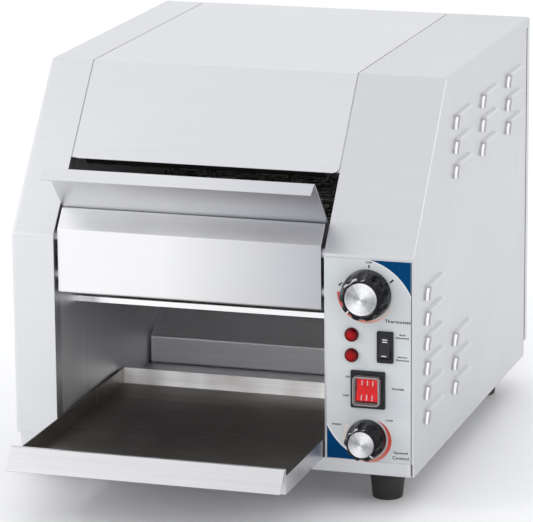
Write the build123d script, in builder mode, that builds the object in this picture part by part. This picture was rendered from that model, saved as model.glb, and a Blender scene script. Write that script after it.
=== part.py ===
from build123d import *
import os
from math import atan2, cos, pi, sin, sqrt, tan

# Body, in millimetres: depths run back from the front face of the two columns
body_width = 368.0
body_height = 362.0
body_depth = 426.0
side_depth = 414.0
foot_height = 30.0
pan_height = 12.0
left_column = 39.5
right_column = 80.0
slope_start = 225.0
slope_depth = 111.0
sheet = 1.2
bend = 2.4
return_depth = 14.0

# Base pan and feet
pan_inset = 3.0
pan_seam = 0.5
pan_corner = 4.0
foot_top_radius = 16.5
foot_bottom_radius = 13.2
foot_inset = 33.0
front_foot_depth = 36.0
rear_foot_depth = 376.0
foot_round = 1.5
base_screw_front_gap = 34.0
base_screw_rear_gap = 36.0
vent_slot = (34.0, 4.0)
vent_pitch = 12.0
vent_rows = 7

# Louvres in the side panels
louvre_height = 12.8
louvre_straight = 40.0
louvre_bulge = 4.6
louvre_sheet = 1.0
louvre_pitch = 98.0
louvre_row = 22.3
louvre_first = 35.0
lower_louvre_height = 68.5
upper_louvre_height = 267.0
lower_louvre_rows = (6, 3)
upper_louvre_rows = 3

# Top cover and rear cover
cover_seam = 1.1
cover_edge_height = 285.0
cover_hem = 9.0
cover_corner = 6.0
ledge_width = 8.0
rear_gap = 4.0
rear_tab = 9.0
rear_cover_bottom = 44.0
rear_screw_heights = (80.0, 195.0, 325.0)
rear_vent = (5.0, 60.0)
rear_vents = 12
rear_vent_pitch = 15.0
fan_grille_rings = 3
fan_grille_hole = 2.5

# Front panel and feed ramp
panel_inset = 4.0
panel_bottom = 172.3
panel_top = 248.0
panel_left_gap = 2.5
panel_right_gap = 4.0
panel_return = 16.0
panel_seat = 14.0
spacer_radius = 5.0
spacer_heights = (188.0, 222.0)
ramp_reach = 20.0
ramp_height = 289.5
ramp_gap = 2.2
ramp_lip = 14.2
ramp_lip_angle = 32.0
ramp_tail_gap = 1.5
ramp_tail = 20.0

# Heat shield, reflector and return chute
shield_depth = 57.0
shield_end = 285.0
shield_height = 157.6
shield_flange = 6.2
reflector_start = 78.0
reflector_end = 318.0
reflector_height = 308.0
reflector_flange = 10.0
chute_depth = 250.0
chute_step = 26.3
chute_angle = 37.5
chute_back = 402.0
chute_shelf = 34.0
chute_top = 244.0
chute_gap = 3.0
chute_foot = 10.0

# Tray, as it stands in the picture: pulled forward
tray_reach = 112.0
tray_length = 285.0
tray_side_gap = 1.25
tray_sheet = 1.0
tray_wall = 16.0
tray_front_wall = 22.0
tray_fold = 2.6
tray_lip_drop = 17.5
tray_lip_lean = 13.5
tray_lift = 0.3

# Conveyor: a loop of cross wires over two toothed shafts
belt_pitch = 12.7
belt_teeth = 12
belt_runs = 18
belt_wire_radius = 1.0
belt_side_gap = 6.25
belt_link_height = 3.0
belt_link_width = 1.6
belt_links = 7
belt_wheel_width = 6.0
idler_depth = 70.0
conveyor_height = 196.5
shaft_radius = 5.0
shaft_clearance = 0.05
wheel_clearance = 0.3
bush_radius = 8.0
bush_flange_radius = 11.0
bush_flange = 2.0
bush_length = 7.0
shaft_chamfer = 0.8
guide_width = 17.0
guide_height = 12.0
guide_start = 102.0
guide_end = 268.0
guide_gap = 0.6

# Drive in the right compartment
chain_pitch = 8.0
chain_teeth = 12
chain_runs = 9
chain_roller_radius = 2.5
chain_width = 5.2
chain_plate = 0.8
chain_plate_height = 6.0
sprocket_width = 3.4
sprocket_hub_radius = 8.0
sprocket_hub = 5.0
sprocket_gap = 4.5
motor_shaft_radius = 4.0
gearbox_size = 46.0
gearbox_depth = 22.0
gearbox_boss_radius = 10.0
gearbox_boss = 3.0
gearbox_corner = 5.0
gearbox_screw_pitch = 36.0
gearbox_screw_depth = 6.0
motor_radius = 16.0
motor_length = 26.0
bracket_gap = 18.5
bracket_sheet = 2.0
bracket_width = 56.0
bracket_foot = 34.0
output_end_gap = 0.5

# Heating elements
element_radius = 4.0
element_count = 3
element_overhang = 13.0
element_pin_radius = 1.6
element_pin = 8.0
upper_element_height = 291.0
upper_element_depth = 118.0
upper_element_spacing = 78.0
lower_element_depth = 122.0
lower_element_spacing = 62.0
insulator_clearance = 0.15
insulator_radius = 7.0
insulator_flange_radius = 10.0
insulator_flange = 2.5
insulator_length = 8.0

# Control plate and what it carries: x runs from the bay's right edge, and a rise is a share of its height
plate_thickness = 1.0
plate_left = 2.0
plate_margin = 1.5
plate_head = 2.6
plate_seat = 0.6
dial_x = 38.6
thermostat_rise = 0.831
thermostat_radius = 22.3
speed_rise = 0.111
speed_radius = 18.0
knob_height = 20.0
knob_gap = 0.6
cap_share = 0.65
cap_thickness = 1.4
cap_clearance = 0.1
dial_hole_clearance = 0.6
cap_rise = 0.6
cap_edge = 0.5
knob_taper = 0.9
knob_shoulder = 4.0
knob_flutes = 10
flute_radius = 4.5
flute_depth = 2.0
knob_shaft_radius = 3.0
knob_shaft_depth = 12.0
lamp_x = 24.9
lamp_rises = (0.626, 0.524)
lamp_radius = 6.2
lamp_body_radius = 4.8
lamp_dome = 5.0
lamp_round = 4.0
lamp_body = 22.0
selector_x = 55.0
selector_rise = 0.575
selector_bezel = (14.6, 28.0)
selector_opening = (9.6, 20.0)
power_x = 39.6
power_rise = 0.358
power_bezel = (30.8, 33.4)
power_opening = (19.2, 21.0)
bezel_thickness = 2.4
bezel_corner = 1.2
bezel_edge = 0.5
switch_wall = 1.2
switch_depth = 20.0
rocker_tip = 24.0
rocker_face = 2.4
rocker_clearance = 0.3
pivot_radius = 1.5
pivot_length = 0.8
pivot_end_gap = 0.2
pivot_clearance = 0.05
boot_margin = 1.6
boot_height = 6.6
boot_wall = 0.9
boot_corner = 3.0
boot_edge = 2.0

# Controls behind the plate, fan, terminals and gland
dial_shaft_reach = 8.0
thermostat_box = 34.0
thermostat_corner = 4.0
thermostat_depth = 30.0
potentiometer_radius = 12.0
potentiometer_depth = 16.0
board_size = (44.0, 60.0)
board_thickness = 1.6
board_lift = 8.0
board_depth = 110.0
board_post_inset = 4.0
board_post_radius = 3.0
heat_sink_size = (24.0, 4.0, 20.0)
capacitor_radius = 5.0
capacitor_height = 12.0
board_part_offset = 12.0
bulb_radius = 3.0
bulb_length = 80.0
bulb_depth = 150.0
bulb_height = 262.0
bulb_clip = 6.0
capillary_radius = 0.9
capillary_bend = 9.0
capillary_lift = 12.0
cutout_radius = 8.0
cutout_thickness = 9.0
cutout_depth = 215.0
cutout_height = 262.0
blade_terminal = (0.8, 5.0, 7.0)
fan_size = 60.0
fan_depth = 24.0
fan_bore_radius = 27.5
fan_hub_radius = 12.0
fan_corner = 4.0
fan_strut = 3.0
fan_struts = 3
fan_blades = 7
fan_blade_angle = 38.0
fan_blade_sheet = 1.2
fan_blade_depth = 16.0
fan_clearance = 1.2
fan_gap = 1.0
fan_height = 262.0
fan_axle_radius = 1.5
terminal_size = (44.0, 20.0, 18.0)
terminal_ways = 4
terminal_hole_radius = 3.0
terminal_slit = (1.2, 5.0)
terminal_back = 66.0
gland_radius = 11.0
gland_bore_radius = 5.0
gland_body_radius = 9.0
gland_reach = 12.0
gland_inner = 10.0
gland_height = 78.0
gland_side = 40.0
gland_edge = 2.0

# Screws
screw_radius = 2.0
screw_head_radius = 3.8
screw_head = 2.2
screw_clearance = 0.15
wall_flange = 12.0

# Places worked out from the sizes above, with the box of the whole centred on the origin
tray_lip_reach = tray_reach + tray_fold + tray_lip_lean
front = (tray_lip_reach - body_depth - gland_reach) / 2
left = -body_width / 2
right = body_width / 2
bay_width = body_width - left_column - right_column
bay_left = left + left_column
bay_right = bay_left + bay_width
back = front + body_depth
floor = foot_height + pan_height
top = body_height
slope_angle = atan2(top - slope_start, slope_depth)
wall_left = bay_left - sheet
wall_right = bay_right + sheet
plate_face = front - plate_thickness
dial_centre = bay_right + dial_x
tray_width = bay_width - 2 * tray_side_gap
belt_width = bay_width - 2 * belt_side_gap
chute_knee_depth = chute_back - chute_shelf
plate_bottom = floor + plate_seat
plate_height = slope_start - plate_head - plate_bottom
thermostat_height = plate_bottom + thermostat_rise * plate_height
speed_height = plate_bottom + speed_rise * plate_height
lamp_heights = [plate_bottom + rise * plate_height for rise in lamp_rises]
selector_height = plate_bottom + selector_rise * plate_height
power_height = plate_bottom + power_rise * plate_height

# How a form is set on its place: grown from it along the place's normal, or back from it
standing = (Align.CENTER, Align.CENTER, Align.MIN)
hanging = (Align.CENTER, Align.CENTER, Align.MAX)


def across(x, y, z):
    # plane whose normal runs along the shafts
    return Plane((x, y, z), x_dir=(0, 1, 0), z_dir=(1, 0, 0))


def facing(x, y, z):
    # plane that looks out of the control panel, with z up
    return Plane((x, y, z), x_dir=(1, 0, 0), z_dir=(0, -1, 0))


def rearward(x, y, z):
    # plane whose normal points out of the back
    return Plane((x, y, z), x_dir=(-1, 0, 0), z_dir=(0, 1, 0))


def slope_height(depth):
    # height of the sloped face at a depth behind the columns' front
    return slope_start + depth * tan(slope_angle)


def slope_depth_at(height):
    # depth behind the columns' front where the sloped face reaches a height
    return (height - slope_start) / tan(slope_angle)


def beside(points, thickness):
    # the path moved to its left by the thickness, with mitred corners
    moved = []
    for index, (y, z) in enumerate(points):
        ahead = points[min(index + 1, len(points) - 1)]
        behind = points[max(index - 1, 0)]
        normals = []
        for start, end in ((behind, (y, z)), ((y, z), ahead)):
            length = sqrt((end[0] - start[0]) ** 2 + (end[1] - start[1]) ** 2)
            if length > 0:
                normals.append(((start[1] - end[1]) / length, (end[0] - start[0]) / length))
        total = [sum(values) for values in zip(*normals)]
        scale = thickness * len(normals) / (total[0] ** 2 + total[1] ** 2)
        moved.append((y + total[0] * scale, z + total[1] * scale))
    return moved


def folded_sheet(points, thickness, radius):
    # section of a folded sheet: the path is one side, and the radius is inside each bend
    other_side = beside(points, thickness)
    with BuildSketch() as section:
        with BuildLine():
            Polyline(*points, *reversed(other_side), close=True)
        make_face()
        for index in range(1, len(points) - 1):
            before, corner, after = points[index - 1], points[index], points[index + 1]
            turn = (corner[0] - before[0]) * (after[1] - corner[1])
            turn -= (corner[1] - before[1]) * (after[0] - corner[0])
            path_radius, side_radius = radius, radius + abs(thickness)
            if (turn > 0) == (thickness > 0):
                path_radius, side_radius = side_radius, path_radius
            fillet(section.vertices().sort_by_distance(corner)[0], path_radius)
            fillet(section.vertices().sort_by_distance(other_side[index])[0], side_radius)
    return section.sketch


def casing_section(inset, bottom, rear, radius):
    # side view of the casing, drawn in from its front, slope and top by the inset
    lean = inset / cos(slope_angle)
    knee = (front + inset, slope_start + inset * tan(slope_angle) - lean)
    brow = (front + (top - inset - slope_start + lean) / tan(slope_angle), top - inset)
    with BuildSketch() as section:
        with BuildLine():
            foot = (front + inset, bottom)
            Polyline(foot, knee, brow, (rear, top - inset), (rear, bottom), close=True)
        make_face()
        if radius > 0:
            fillet(section.vertices().sort_by_distance(knee)[0], radius)
            fillet(section.vertices().sort_by_distance(brow)[0], radius)
    return section.sketch


def control_openings():
    # holes behind the panel for the dial shafts, lamps and switches, as seen from the front
    with BuildSketch() as openings:
        with Locations((dial_centre, thermostat_height), (dial_centre, speed_height)):
            Circle(knob_shaft_radius + dial_hole_clearance)
        with Locations(*[(bay_right + lamp_x, height) for height in lamp_heights]):
            Circle(lamp_body_radius + screw_clearance)
        around = 2 * (rocker_clearance + switch_wall + screw_clearance)
        with Locations((bay_right + selector_x, selector_height)):
            Rectangle(selector_opening[0] + around, selector_opening[1] + around)
        with Locations((bay_right + power_x, power_height)):
            Rectangle(power_opening[0] + around, power_opening[1] + around)
    return openings.sketch


def louvre_section(height, bulge, root):
    # half of a scoop's section: a flat crown, and a round shoulder down to the panel
    shoulder = (height - bulge + bulge * cos(pi / 4), bulge * sin(pi / 4))
    with BuildSketch() as section:
        with BuildLine():
            Polyline((height - bulge, bulge), (0, bulge), (0, -root), (height, -root), (height, 0))
            ThreePointArc((height, 0), shoulder, (height - bulge, bulge))
        make_face()
    return section.sketch


def louvre_form(height, bulge, root):
    # a scoop that is open below: a straight middle with a round end on each side
    half = louvre_straight / 2
    with BuildPart() as form:
        for end, arc in ((half, -90), (-half, 90)):
            with BuildSketch(Plane.YZ.offset(end)):
                add(louvre_section(height, bulge, root))
            revolve(axis=Axis((end, 0, 0), (0, 0, 1)), revolution_arc=arc)
        with BuildSketch(Plane.YZ.offset(-half)):
            add(louvre_section(height, bulge, root))
        extrude(amount=louvre_straight)
    return form.part


def louvre_places(outward):
    # where the louvres stand on a side panel, and which way they face
    half_length = louvre_straight / 2 + louvre_height
    places = []
    for column in range(4):
        depth = front + louvre_first + column * louvre_pitch + half_length
        heights = []
        if column < len(lower_louvre_rows):
            rows = range(lower_louvre_rows[column])
            heights += [lower_louvre_height + row * louvre_row for row in rows]
        if column > 0:
            heights += [upper_louvre_height + row * louvre_row for row in range(upper_louvre_rows)]
        for height in heights:
            corner = (outward * right, depth, height)
            places.append(Plane(corner, x_dir=(0, outward, 0), z_dir=(outward, 0, 0)))
    return places


foot_places = [
    (side * (right - foot_inset), front + depth)
    for side in (-1, 1)
    for depth in (front_foot_depth, rear_foot_depth)
]


# Base pan: a shallow upturned tray that everything stands on
pan_left = left + pan_inset
pan_right = right - sheet - pan_seam
pan_back = front + side_depth - pan_inset
pan_middle = ((pan_left + pan_right) / 2, (front + pan_back) / 2)
flange_lines = (wall_left - wall_flange / 2, wall_right + wall_flange / 2)
base_screw_lines = (*flange_lines, right - sheet - wall_flange / 2)
base_screw_span = (front_foot_depth + base_screw_front_gap, rear_foot_depth - base_screw_rear_gap)
base_screw_depths = (base_screw_span[0], sum(base_screw_span) / 2, base_screw_span[1])
base_screw_places = [(x, front + depth) for x in base_screw_lines for depth in base_screw_depths]
with BuildPart() as base_pan:
    with BuildSketch(Plane.XY.offset(foot_height)):
        with Locations(pan_middle):
            RectangleRounded(pan_right - pan_left, pan_back - front, pan_corner)
    extrude(amount=pan_height)
    with BuildSketch(Plane.XY.offset(foot_height)):
        with Locations(pan_middle):
            RectangleRounded(
                pan_right - pan_left - 2 * sheet, pan_back - front - 2 * sheet, pan_corner - sheet
            )
    extrude(amount=pan_height - sheet, mode=Mode.SUBTRACT)
    with Locations(*[(x, y, floor) for x, y in foot_places + base_screw_places]):
        Hole(screw_radius + screw_clearance, 2 * sheet)
    with BuildSketch(Plane.XY.offset(floor)):
        with Locations(((wall_right + right) / 2, front + side_depth / 2)):
            with GridLocations(0, vent_pitch, 1, vent_rows):
                SlotOverall(*vent_slot)
    extrude(amount=-2 * sheet, mode=Mode.SUBTRACT)

# Feet: tapered rubber, one at each corner
with BuildPart() as rubber_feet:
    with Locations(*[(x, y, foot_height / 2) for x, y in foot_places]):
        Cone(foot_bottom_radius, foot_top_radius, foot_height)
    fillet(rubber_feet.edges().group_by(Axis.Z)[0], foot_round)
    with Locations(*[(x, y, foot_height) for x, y in foot_places]):
        Hole(screw_radius, foot_height / 2)

# Foot screws: down through the pan into the feet
foot_screw_length = foot_height / 2
with BuildPart() as foot_screws:
    with Locations(*[(x, y, floor) for x, y in foot_places]):
        Cylinder(screw_head_radius, screw_head, align=standing)
        Cylinder(screw_radius, pan_height + foot_screw_length, align=hanging)


def side_housing(outward, inner, panel_bottom):
    # one folded sheet: side panel, top, slope and column front, with a return along the bay
    outer = outward * right
    width = abs(outer - inner)
    with BuildPart() as housing:
        with BuildSketch(Plane.YZ.offset(inner)):
            add(casing_section(0, panel_bottom, back, bend))
        extrude(amount=outward * width)
        corner_edges = housing.edges().filter_by(lambda edge: abs(edge.center().X - outer) < 0.01)
        top_edge = corner_edges.filter_by(Axis.Y).sort_by(Axis.Z)[-1]
        fillet(top_edge, bend)
        with BuildSketch(Plane.YZ.offset(inner)):
            add(casing_section(sheet, panel_bottom - sheet, back + sheet, bend - sheet))
        extrude(amount=outward * (width - sheet), mode=Mode.SUBTRACT)
        with BuildSketch(Plane.YZ.offset(inner)):
            with Locations((front + body_depth / 2, floor)):
                Rectangle(2 * body_depth, 2 * pan_height, align=(Align.CENTER, Align.MAX))
        extrude(amount=outward * (width - sheet), mode=Mode.SUBTRACT)
        with BuildSketch(Plane.YZ.offset(inner)):
            with Locations((front + side_depth, panel_bottom - sheet)):
                cut_height = top - rear_tab - panel_bottom + sheet
                Rectangle(body_depth, cut_height, align=(Align.MIN, Align.MIN))
        extrude(amount=outward * width, mode=Mode.SUBTRACT)
        with BuildSketch(Plane.YZ.offset(inner)):
            add(casing_section(0, floor, back - sheet, bend))
            add(casing_section(return_depth, floor - sheet, back, 0), mode=Mode.SUBTRACT)
        extrude(amount=outward * sheet)
        with BuildSketch(Plane.YZ.offset(inner)):
            add(casing_section(sheet, floor, back - sheet, bend - sheet))
            add(casing_section(2 * sheet, floor - sheet, back, 0), mode=Mode.SUBTRACT)
            with Locations((front, floor)):
                Rectangle(2 * body_depth, 2 * (cover_edge_height - floor), mode=Mode.SUBTRACT)
        extrude(amount=-outward * ledge_width)
        with Locations((outer - outward * sheet, front + side_depth / 2, floor)):
            Box(
                wall_flange,
                side_depth - 4 * return_depth,
                sheet,
                align=(Align.MAX if outward > 0 else Align.MIN, Align.CENTER, Align.MIN),
            )
        with Locations(*[(x, y, floor + sheet) for x, y in base_screw_places]):
            Hole(screw_radius, 2 * sheet)
        with Locations(*louvre_places(outward)):
            add(louvre_form(louvre_height, louvre_bulge, sheet / 2))
        with Locations(*louvre_places(outward)):
            add(
                louvre_form(louvre_height - louvre_sheet, louvre_bulge - louvre_sheet, 2 * sheet),
                mode=Mode.SUBTRACT,
            )
        if outward > 0:
            with BuildSketch(Plane.XZ.offset(-front - 2 * sheet)):
                add(control_openings())
            extrude(amount=3 * sheet, mode=Mode.SUBTRACT)
    return housing


# Side housings: the right one reaches down past the pan, the left one stands on it
left_housing = side_housing(-1, bay_left, floor)
right_housing = side_housing(1, bay_right, foot_height)

shaft_places = [
    (front + idler_depth, conveyor_height),
    (front + idler_depth + belt_runs * belt_pitch, conveyor_height),
]
idler_y, drive_y = shaft_places[0][0], shaft_places[1][0]
upper_element_places = [
    (front + upper_element_depth + index * upper_element_spacing, upper_element_height)
    for index in range(element_count)
]
lower_element_places = [
    (front + lower_element_depth + index * lower_element_spacing, conveyor_height)
    for index in range(element_count)
]

def inner_wall(outward, inner):
    # wall between the toasting chamber and a side compartment
    with BuildPart() as wall:
        with BuildSketch(Plane.YZ.offset(inner)):
            add(casing_section(sheet, floor, back - sheet, bend - sheet))
            with Locations(*shaft_places):
                Circle(bush_radius, mode=Mode.SUBTRACT)
            with Locations(*upper_element_places, *lower_element_places):
                Circle(insulator_radius, mode=Mode.SUBTRACT)
            if outward > 0:
                with Locations((front + bulb_depth, bulb_height)):
                    Circle(bulb_radius, mode=Mode.SUBTRACT)
        extrude(amount=outward * sheet)
        side = Align.MIN if outward > 0 else Align.MAX
        with Locations((inner, front + side_depth / 2, floor)):
            Box(
                wall_flange,
                rear_foot_depth - front_foot_depth - 3 * foot_top_radius,
                sheet,
                align=(side, Align.CENTER, Align.MIN),
            )
        with Locations((inner, back - sheet, rear_cover_bottom)):
            Box(
                wall_flange,
                sheet,
                top - rear_tab - 2 * sheet - rear_cover_bottom,
                align=(side, Align.MAX, Align.MIN),
            )
        flange_middle = inner + outward * wall_flange / 2
        with Locations(*[Plane((flange_middle, back, z), z_dir=(0, 1, 0)) for z in rear_screw_heights]):
            Hole(screw_radius, 3 * sheet)
        with Locations(*[(x, y, floor + sheet) for x, y in base_screw_places]):
            Hole(screw_radius, 2 * sheet)
    return wall


left_inner_wall = inner_wall(-1, wall_left)
right_inner_wall = inner_wall(1, wall_right)

# Top cover: top and slope in one sheet, laid on the housings' ledges
cover_left = bay_left + cover_seam
cover_width = bay_width - 2 * cover_seam
cover_edge = (front + slope_depth_at(cover_edge_height), cover_edge_height)
cover_path = [cover_edge, (front + slope_depth, top), (back, top)]
with BuildPart() as top_cover:
    with BuildSketch(Plane.YZ.offset(cover_left)):
        add(folded_sheet(cover_path, -sheet, bend - sheet))
    extrude(amount=cover_width)
    lower_corners = [
        top_cover.edges().sort_by_distance((x, *cover_edge))[:3].filter_by(
            lambda edge: abs(edge.length - sheet) < 0.01
        )[0]
        for x in (cover_left, cover_left + cover_width)
    ]
    fillet(lower_corners, cover_corner)
    hem_end = (
        cover_edge[0] + cover_hem * sin(slope_angle),
        cover_edge[1] - cover_hem * cos(slope_angle),
    )
    with BuildSketch(Plane.YZ.offset(cover_left + 2 * cover_corner)):
        with BuildLine():
            Polyline(
                cover_edge,
                hem_end,
                (hem_end[0] + sheet * cos(slope_angle), hem_end[1] + sheet * sin(slope_angle)),
                (cover_edge[0] + sheet * cos(slope_angle), cover_edge[1] + sheet * sin(slope_angle)),
                close=True,
            )
        make_face()
    extrude(amount=cover_width - 4 * cover_corner)

# Rear cover: back plate with side flanges that stand a gap behind the side panels
rear_cover_top = top - sheet
flange_reach = body_depth - side_depth - rear_gap
fan_centre = (wall_right + wall_flange + fan_gap + fan_size / 2, fan_height)
gland_place = (right - gland_side, gland_height)
rear_screw_places = [(x, z) for x in flange_lines for z in rear_screw_heights]
with BuildPart() as rear_cover:
    with Locations((0, back, rear_cover_bottom)):
        Box(
            body_width,
            sheet,
            rear_cover_top - rear_cover_bottom,
            align=(Align.CENTER, Align.MAX, Align.MIN),
        )
    for side, align in ((left, Align.MIN), (right, Align.MAX)):
        with Locations((side, back, rear_cover_bottom)):
            Box(
                sheet,
                flange_reach,
                top - rear_tab - rear_cover_bottom - sheet,
                align=(align, Align.MAX, Align.MIN),
            )
        with Locations((side, back, top)):
            Box(2 * (sheet + pan_seam), 3 * sheet, 2 * (rear_tab + sheet), mode=Mode.SUBTRACT)
    with BuildSketch(Plane.XZ.offset(-back)):
        with Locations(fan_centre):
            for ring in range(1, fan_grille_rings + 1):
                with PolarLocations(ring * fan_bore_radius / (fan_grille_rings + 1), 6 * ring):
                    Circle(fan_grille_hole)
        with Locations(gland_place):
            Circle(gland_body_radius)
        with Locations(*rear_screw_places):
            Circle(screw_radius + screw_clearance)
        with Locations(((bay_left + bay_right) / 2, (top + cover_edge_height) / 2)):
            with GridLocations(rear_vent_pitch, 0, rear_vents, 1):
                SlotOverall(*reversed(rear_vent), rotation=90)
    extrude(amount=2 * sheet, both=True, mode=Mode.SUBTRACT)
with BuildPart() as rear_cover_screws:
    with Locations(*[Plane((x, back, z), z_dir=(0, 1, 0)) for x, z in rear_screw_places]):
        Cylinder(screw_head_radius, screw_head, align=standing)
        Cylinder(screw_radius, 3 * sheet, align=hanging)

# Base screws: up through the pan into the housings' and walls' flanges
with BuildPart() as base_screws:
    with Locations(*[Plane((x, y, floor - sheet), z_dir=(0, 0, -1)) for x, y in base_screw_places]):
        Cylinder(screw_head_radius, screw_head, align=standing)
        Cylinder(screw_radius, 3 * sheet, align=hanging)

# Front panel: a shallow box with its own slope, and a seat behind for the ramp
panel_left = bay_left + panel_left_gap
panel_width = bay_width - panel_left_gap - panel_right_gap
panel_front = front + panel_inset
panel_knee = (panel_front, slope_height(panel_inset))
panel_brow = (front + slope_depth_at(panel_top), panel_top)
ramp_top = (front - ramp_reach, ramp_height)
ramp_angle = atan2(ramp_height - panel_top, panel_brow[0] - ramp_top[0])
seat_end = (
    panel_brow[0] + panel_seat * cos(ramp_angle),
    panel_brow[1] - panel_seat * sin(ramp_angle),
)
# the cheeks close each end, let into half the sheet's thickness up to the bend at the brow
brow_setback = 2 * sheet / tan((pi - slope_angle - ramp_angle) / 2)
cheek_knee = (
    panel_front + sheet / 2,
    panel_knee[1] + sheet / 2 * tan(slope_angle) - sheet / 2 / cos(slope_angle),
)
cheek_brow = (
    panel_brow[0] - brow_setback * cos(slope_angle) + sheet / 2 * sin(slope_angle),
    panel_brow[1] - brow_setback * sin(slope_angle) - sheet / 2 * cos(slope_angle),
)
with BuildPart() as front_panel:
    with BuildSketch(Plane.YZ.offset(panel_left)):
        add(
            folded_sheet(
                [
                    (panel_front + panel_return, panel_bottom),
                    (panel_front, panel_bottom),
                    panel_knee,
                    panel_brow,
                    seat_end,
                ],
                -sheet,
                sheet,
            )
        )
    extrude(amount=panel_width)
    for x in (panel_left, panel_left + panel_width - sheet):
        with BuildSketch(Plane.YZ.offset(x)):
            with BuildLine():
                Polyline(
                    (panel_front + sheet / 2, panel_bottom + sheet / 2),
                    (panel_front + panel_return, panel_bottom + sheet / 2),
                    (panel_front + panel_return, panel_knee[1] + sheet),
                    cheek_brow,
                    cheek_knee,
                    close=True,
                )
            make_face()
        extrude(amount=sheet)

# Spacers: they carry the front panel between the housings' returns
spacer_y = panel_front + panel_return / 2
with BuildPart() as panel_spacers:
    with Locations(*[Plane((bay_left, spacer_y, z), z_dir=(1, 0, 0)) for z in spacer_heights]):
        Cylinder(spacer_radius, panel_left_gap, align=standing)
    with Locations(*[Plane((bay_right, spacer_y, z), z_dir=(-1, 0, 0)) for z in spacer_heights]):
        Cylinder(spacer_radius, panel_right_gap, align=standing)

# Feed ramp: rises forward out of the slope, with a lip folded down at its top
belt_radius = belt_pitch / (2 * sin(pi / belt_teeth))
belt_outside = belt_radius + max(belt_wire_radius, belt_link_height / 2)
tail_end = (idler_y - 2 * belt_link_height, conveyor_height + belt_outside + ramp_tail_gap)
tail_start_y = tail_end[0] - ramp_tail
tail_start = (tail_start_y, ramp_top[1] - (tail_start_y - ramp_top[0]) * tan(ramp_angle))
lip_angle = ramp_lip_angle * pi / 180
lip_end = (ramp_top[0] - ramp_lip * cos(lip_angle), ramp_top[1] - ramp_lip * sin(lip_angle))
ramp_left = bay_left + ramp_gap
ramp_width = bay_width - 2 * ramp_gap
with BuildPart() as feed_ramp:
    with BuildSketch(Plane.YZ.offset(ramp_left)):
        add(folded_sheet([lip_end, ramp_top, tail_start, tail_end], sheet, sheet))
    extrude(amount=ramp_width)

# Heat shield: ceiling of the outlet bay, with a bright flange along its front
shield_width = wall_right - wall_left
with BuildPart() as heat_shield:
    with BuildSketch(Plane.YZ.offset(wall_left)):
        add(
            folded_sheet(
                [
                    (front + shield_depth, shield_height - shield_flange),
                    (front + shield_depth, shield_height),
                    (front + shield_end, shield_height),
                ],
                -sheet,
                sheet / 2,
            )
        )
    extrude(amount=shield_width)
    for x, align in ((wall_left, Align.MIN), (wall_right, Align.MAX)):
        with Locations((x, front + shield_depth + shield_flange, shield_height - sheet)):
            Box(
                sheet,
                shield_end - shield_depth - shield_flange,
                shield_flange,
                align=(align, Align.MIN, Align.MAX),
            )

# Upper reflector: over the upper elements, with turned-up sides
with BuildPart() as upper_reflector:
    with BuildSketch(Plane.YZ.offset(wall_left)):
        add(
            folded_sheet(
                [
                    (front + reflector_start, reflector_height - reflector_flange),
                    (front + reflector_start + reflector_flange, reflector_height),
                    (front + reflector_end - reflector_flange, reflector_height),
                    (front + reflector_end, reflector_height - reflector_flange),
                ],
                -sheet,
                sheet,
            )
        )
    extrude(amount=shield_width)
    for x, align in ((wall_left, Align.MIN), (wall_right, Align.MAX)):
        with Locations((x, front + (reflector_start + reflector_end) / 2, reflector_height - sheet)):
            Box(
                sheet,
                reflector_end - reflector_start - 4 * reflector_flange,
                reflector_flange,
                align=(align, Align.CENTER, Align.MIN),
            )

# Return chute: a step, a slide and a curved back that turns the toast forward
chute_left = wall_left + chute_gap
chute_width = shield_width - 2 * chute_gap
chute_slope = chute_angle * pi / 180
chute_knee_height = floor + chute_step + (chute_knee_depth - chute_depth) * tan(chute_slope)
with BuildPart() as return_chute:
    with BuildSketch(Plane.YZ.offset(chute_left)):
        add(
            folded_sheet(
                [
                    (front + chute_depth + chute_foot, floor),
                    (front + chute_depth, floor),
                    (front + chute_depth, floor + chute_step),
                    (front + chute_knee_depth, chute_knee_height),
                    (front + chute_back, chute_knee_height + (chute_back - chute_knee_depth) * 2),
                    (front + chute_back, chute_top),
                    (back - sheet, chute_top),
                ],
                -sheet,
                sheet,
            )
        )
    extrude(amount=chute_width)

# Toast tray: folded pan with a higher front wall and a lip that leans forward
tray_left = (bay_left + bay_right - tray_width) / 2
tray_front = front - tray_reach
tray_bottom = floor + tray_lift
tray_front_top = tray_bottom + tray_front_wall
with BuildPart() as toast_tray:
    with Locations((tray_left, tray_front, tray_bottom)):
        Box(tray_width, tray_length, tray_wall, align=(Align.MIN, Align.MIN, Align.MIN))
    with Locations((tray_left + tray_sheet, tray_front + tray_sheet, tray_bottom + tray_sheet)):
        Box(
            tray_width - 2 * tray_sheet,
            tray_length - 2 * tray_sheet,
            tray_wall,
            align=(Align.MIN, Align.MIN, Align.MIN),
            mode=Mode.SUBTRACT,
        )
    with BuildSketch(Plane.YZ.offset(tray_left)):
        add(
            folded_sheet(
                [
                    (tray_front, tray_bottom + 2 * tray_sheet),
                    (tray_front, tray_front_top),
                    (tray_front - tray_fold, tray_front_top),
                    (tray_front - tray_fold - tray_lip_lean, tray_front_top - tray_lip_drop),
                ],
                -tray_sheet,
                tray_sheet / 4,
            )
        )
    extrude(amount=tray_width)


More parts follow.
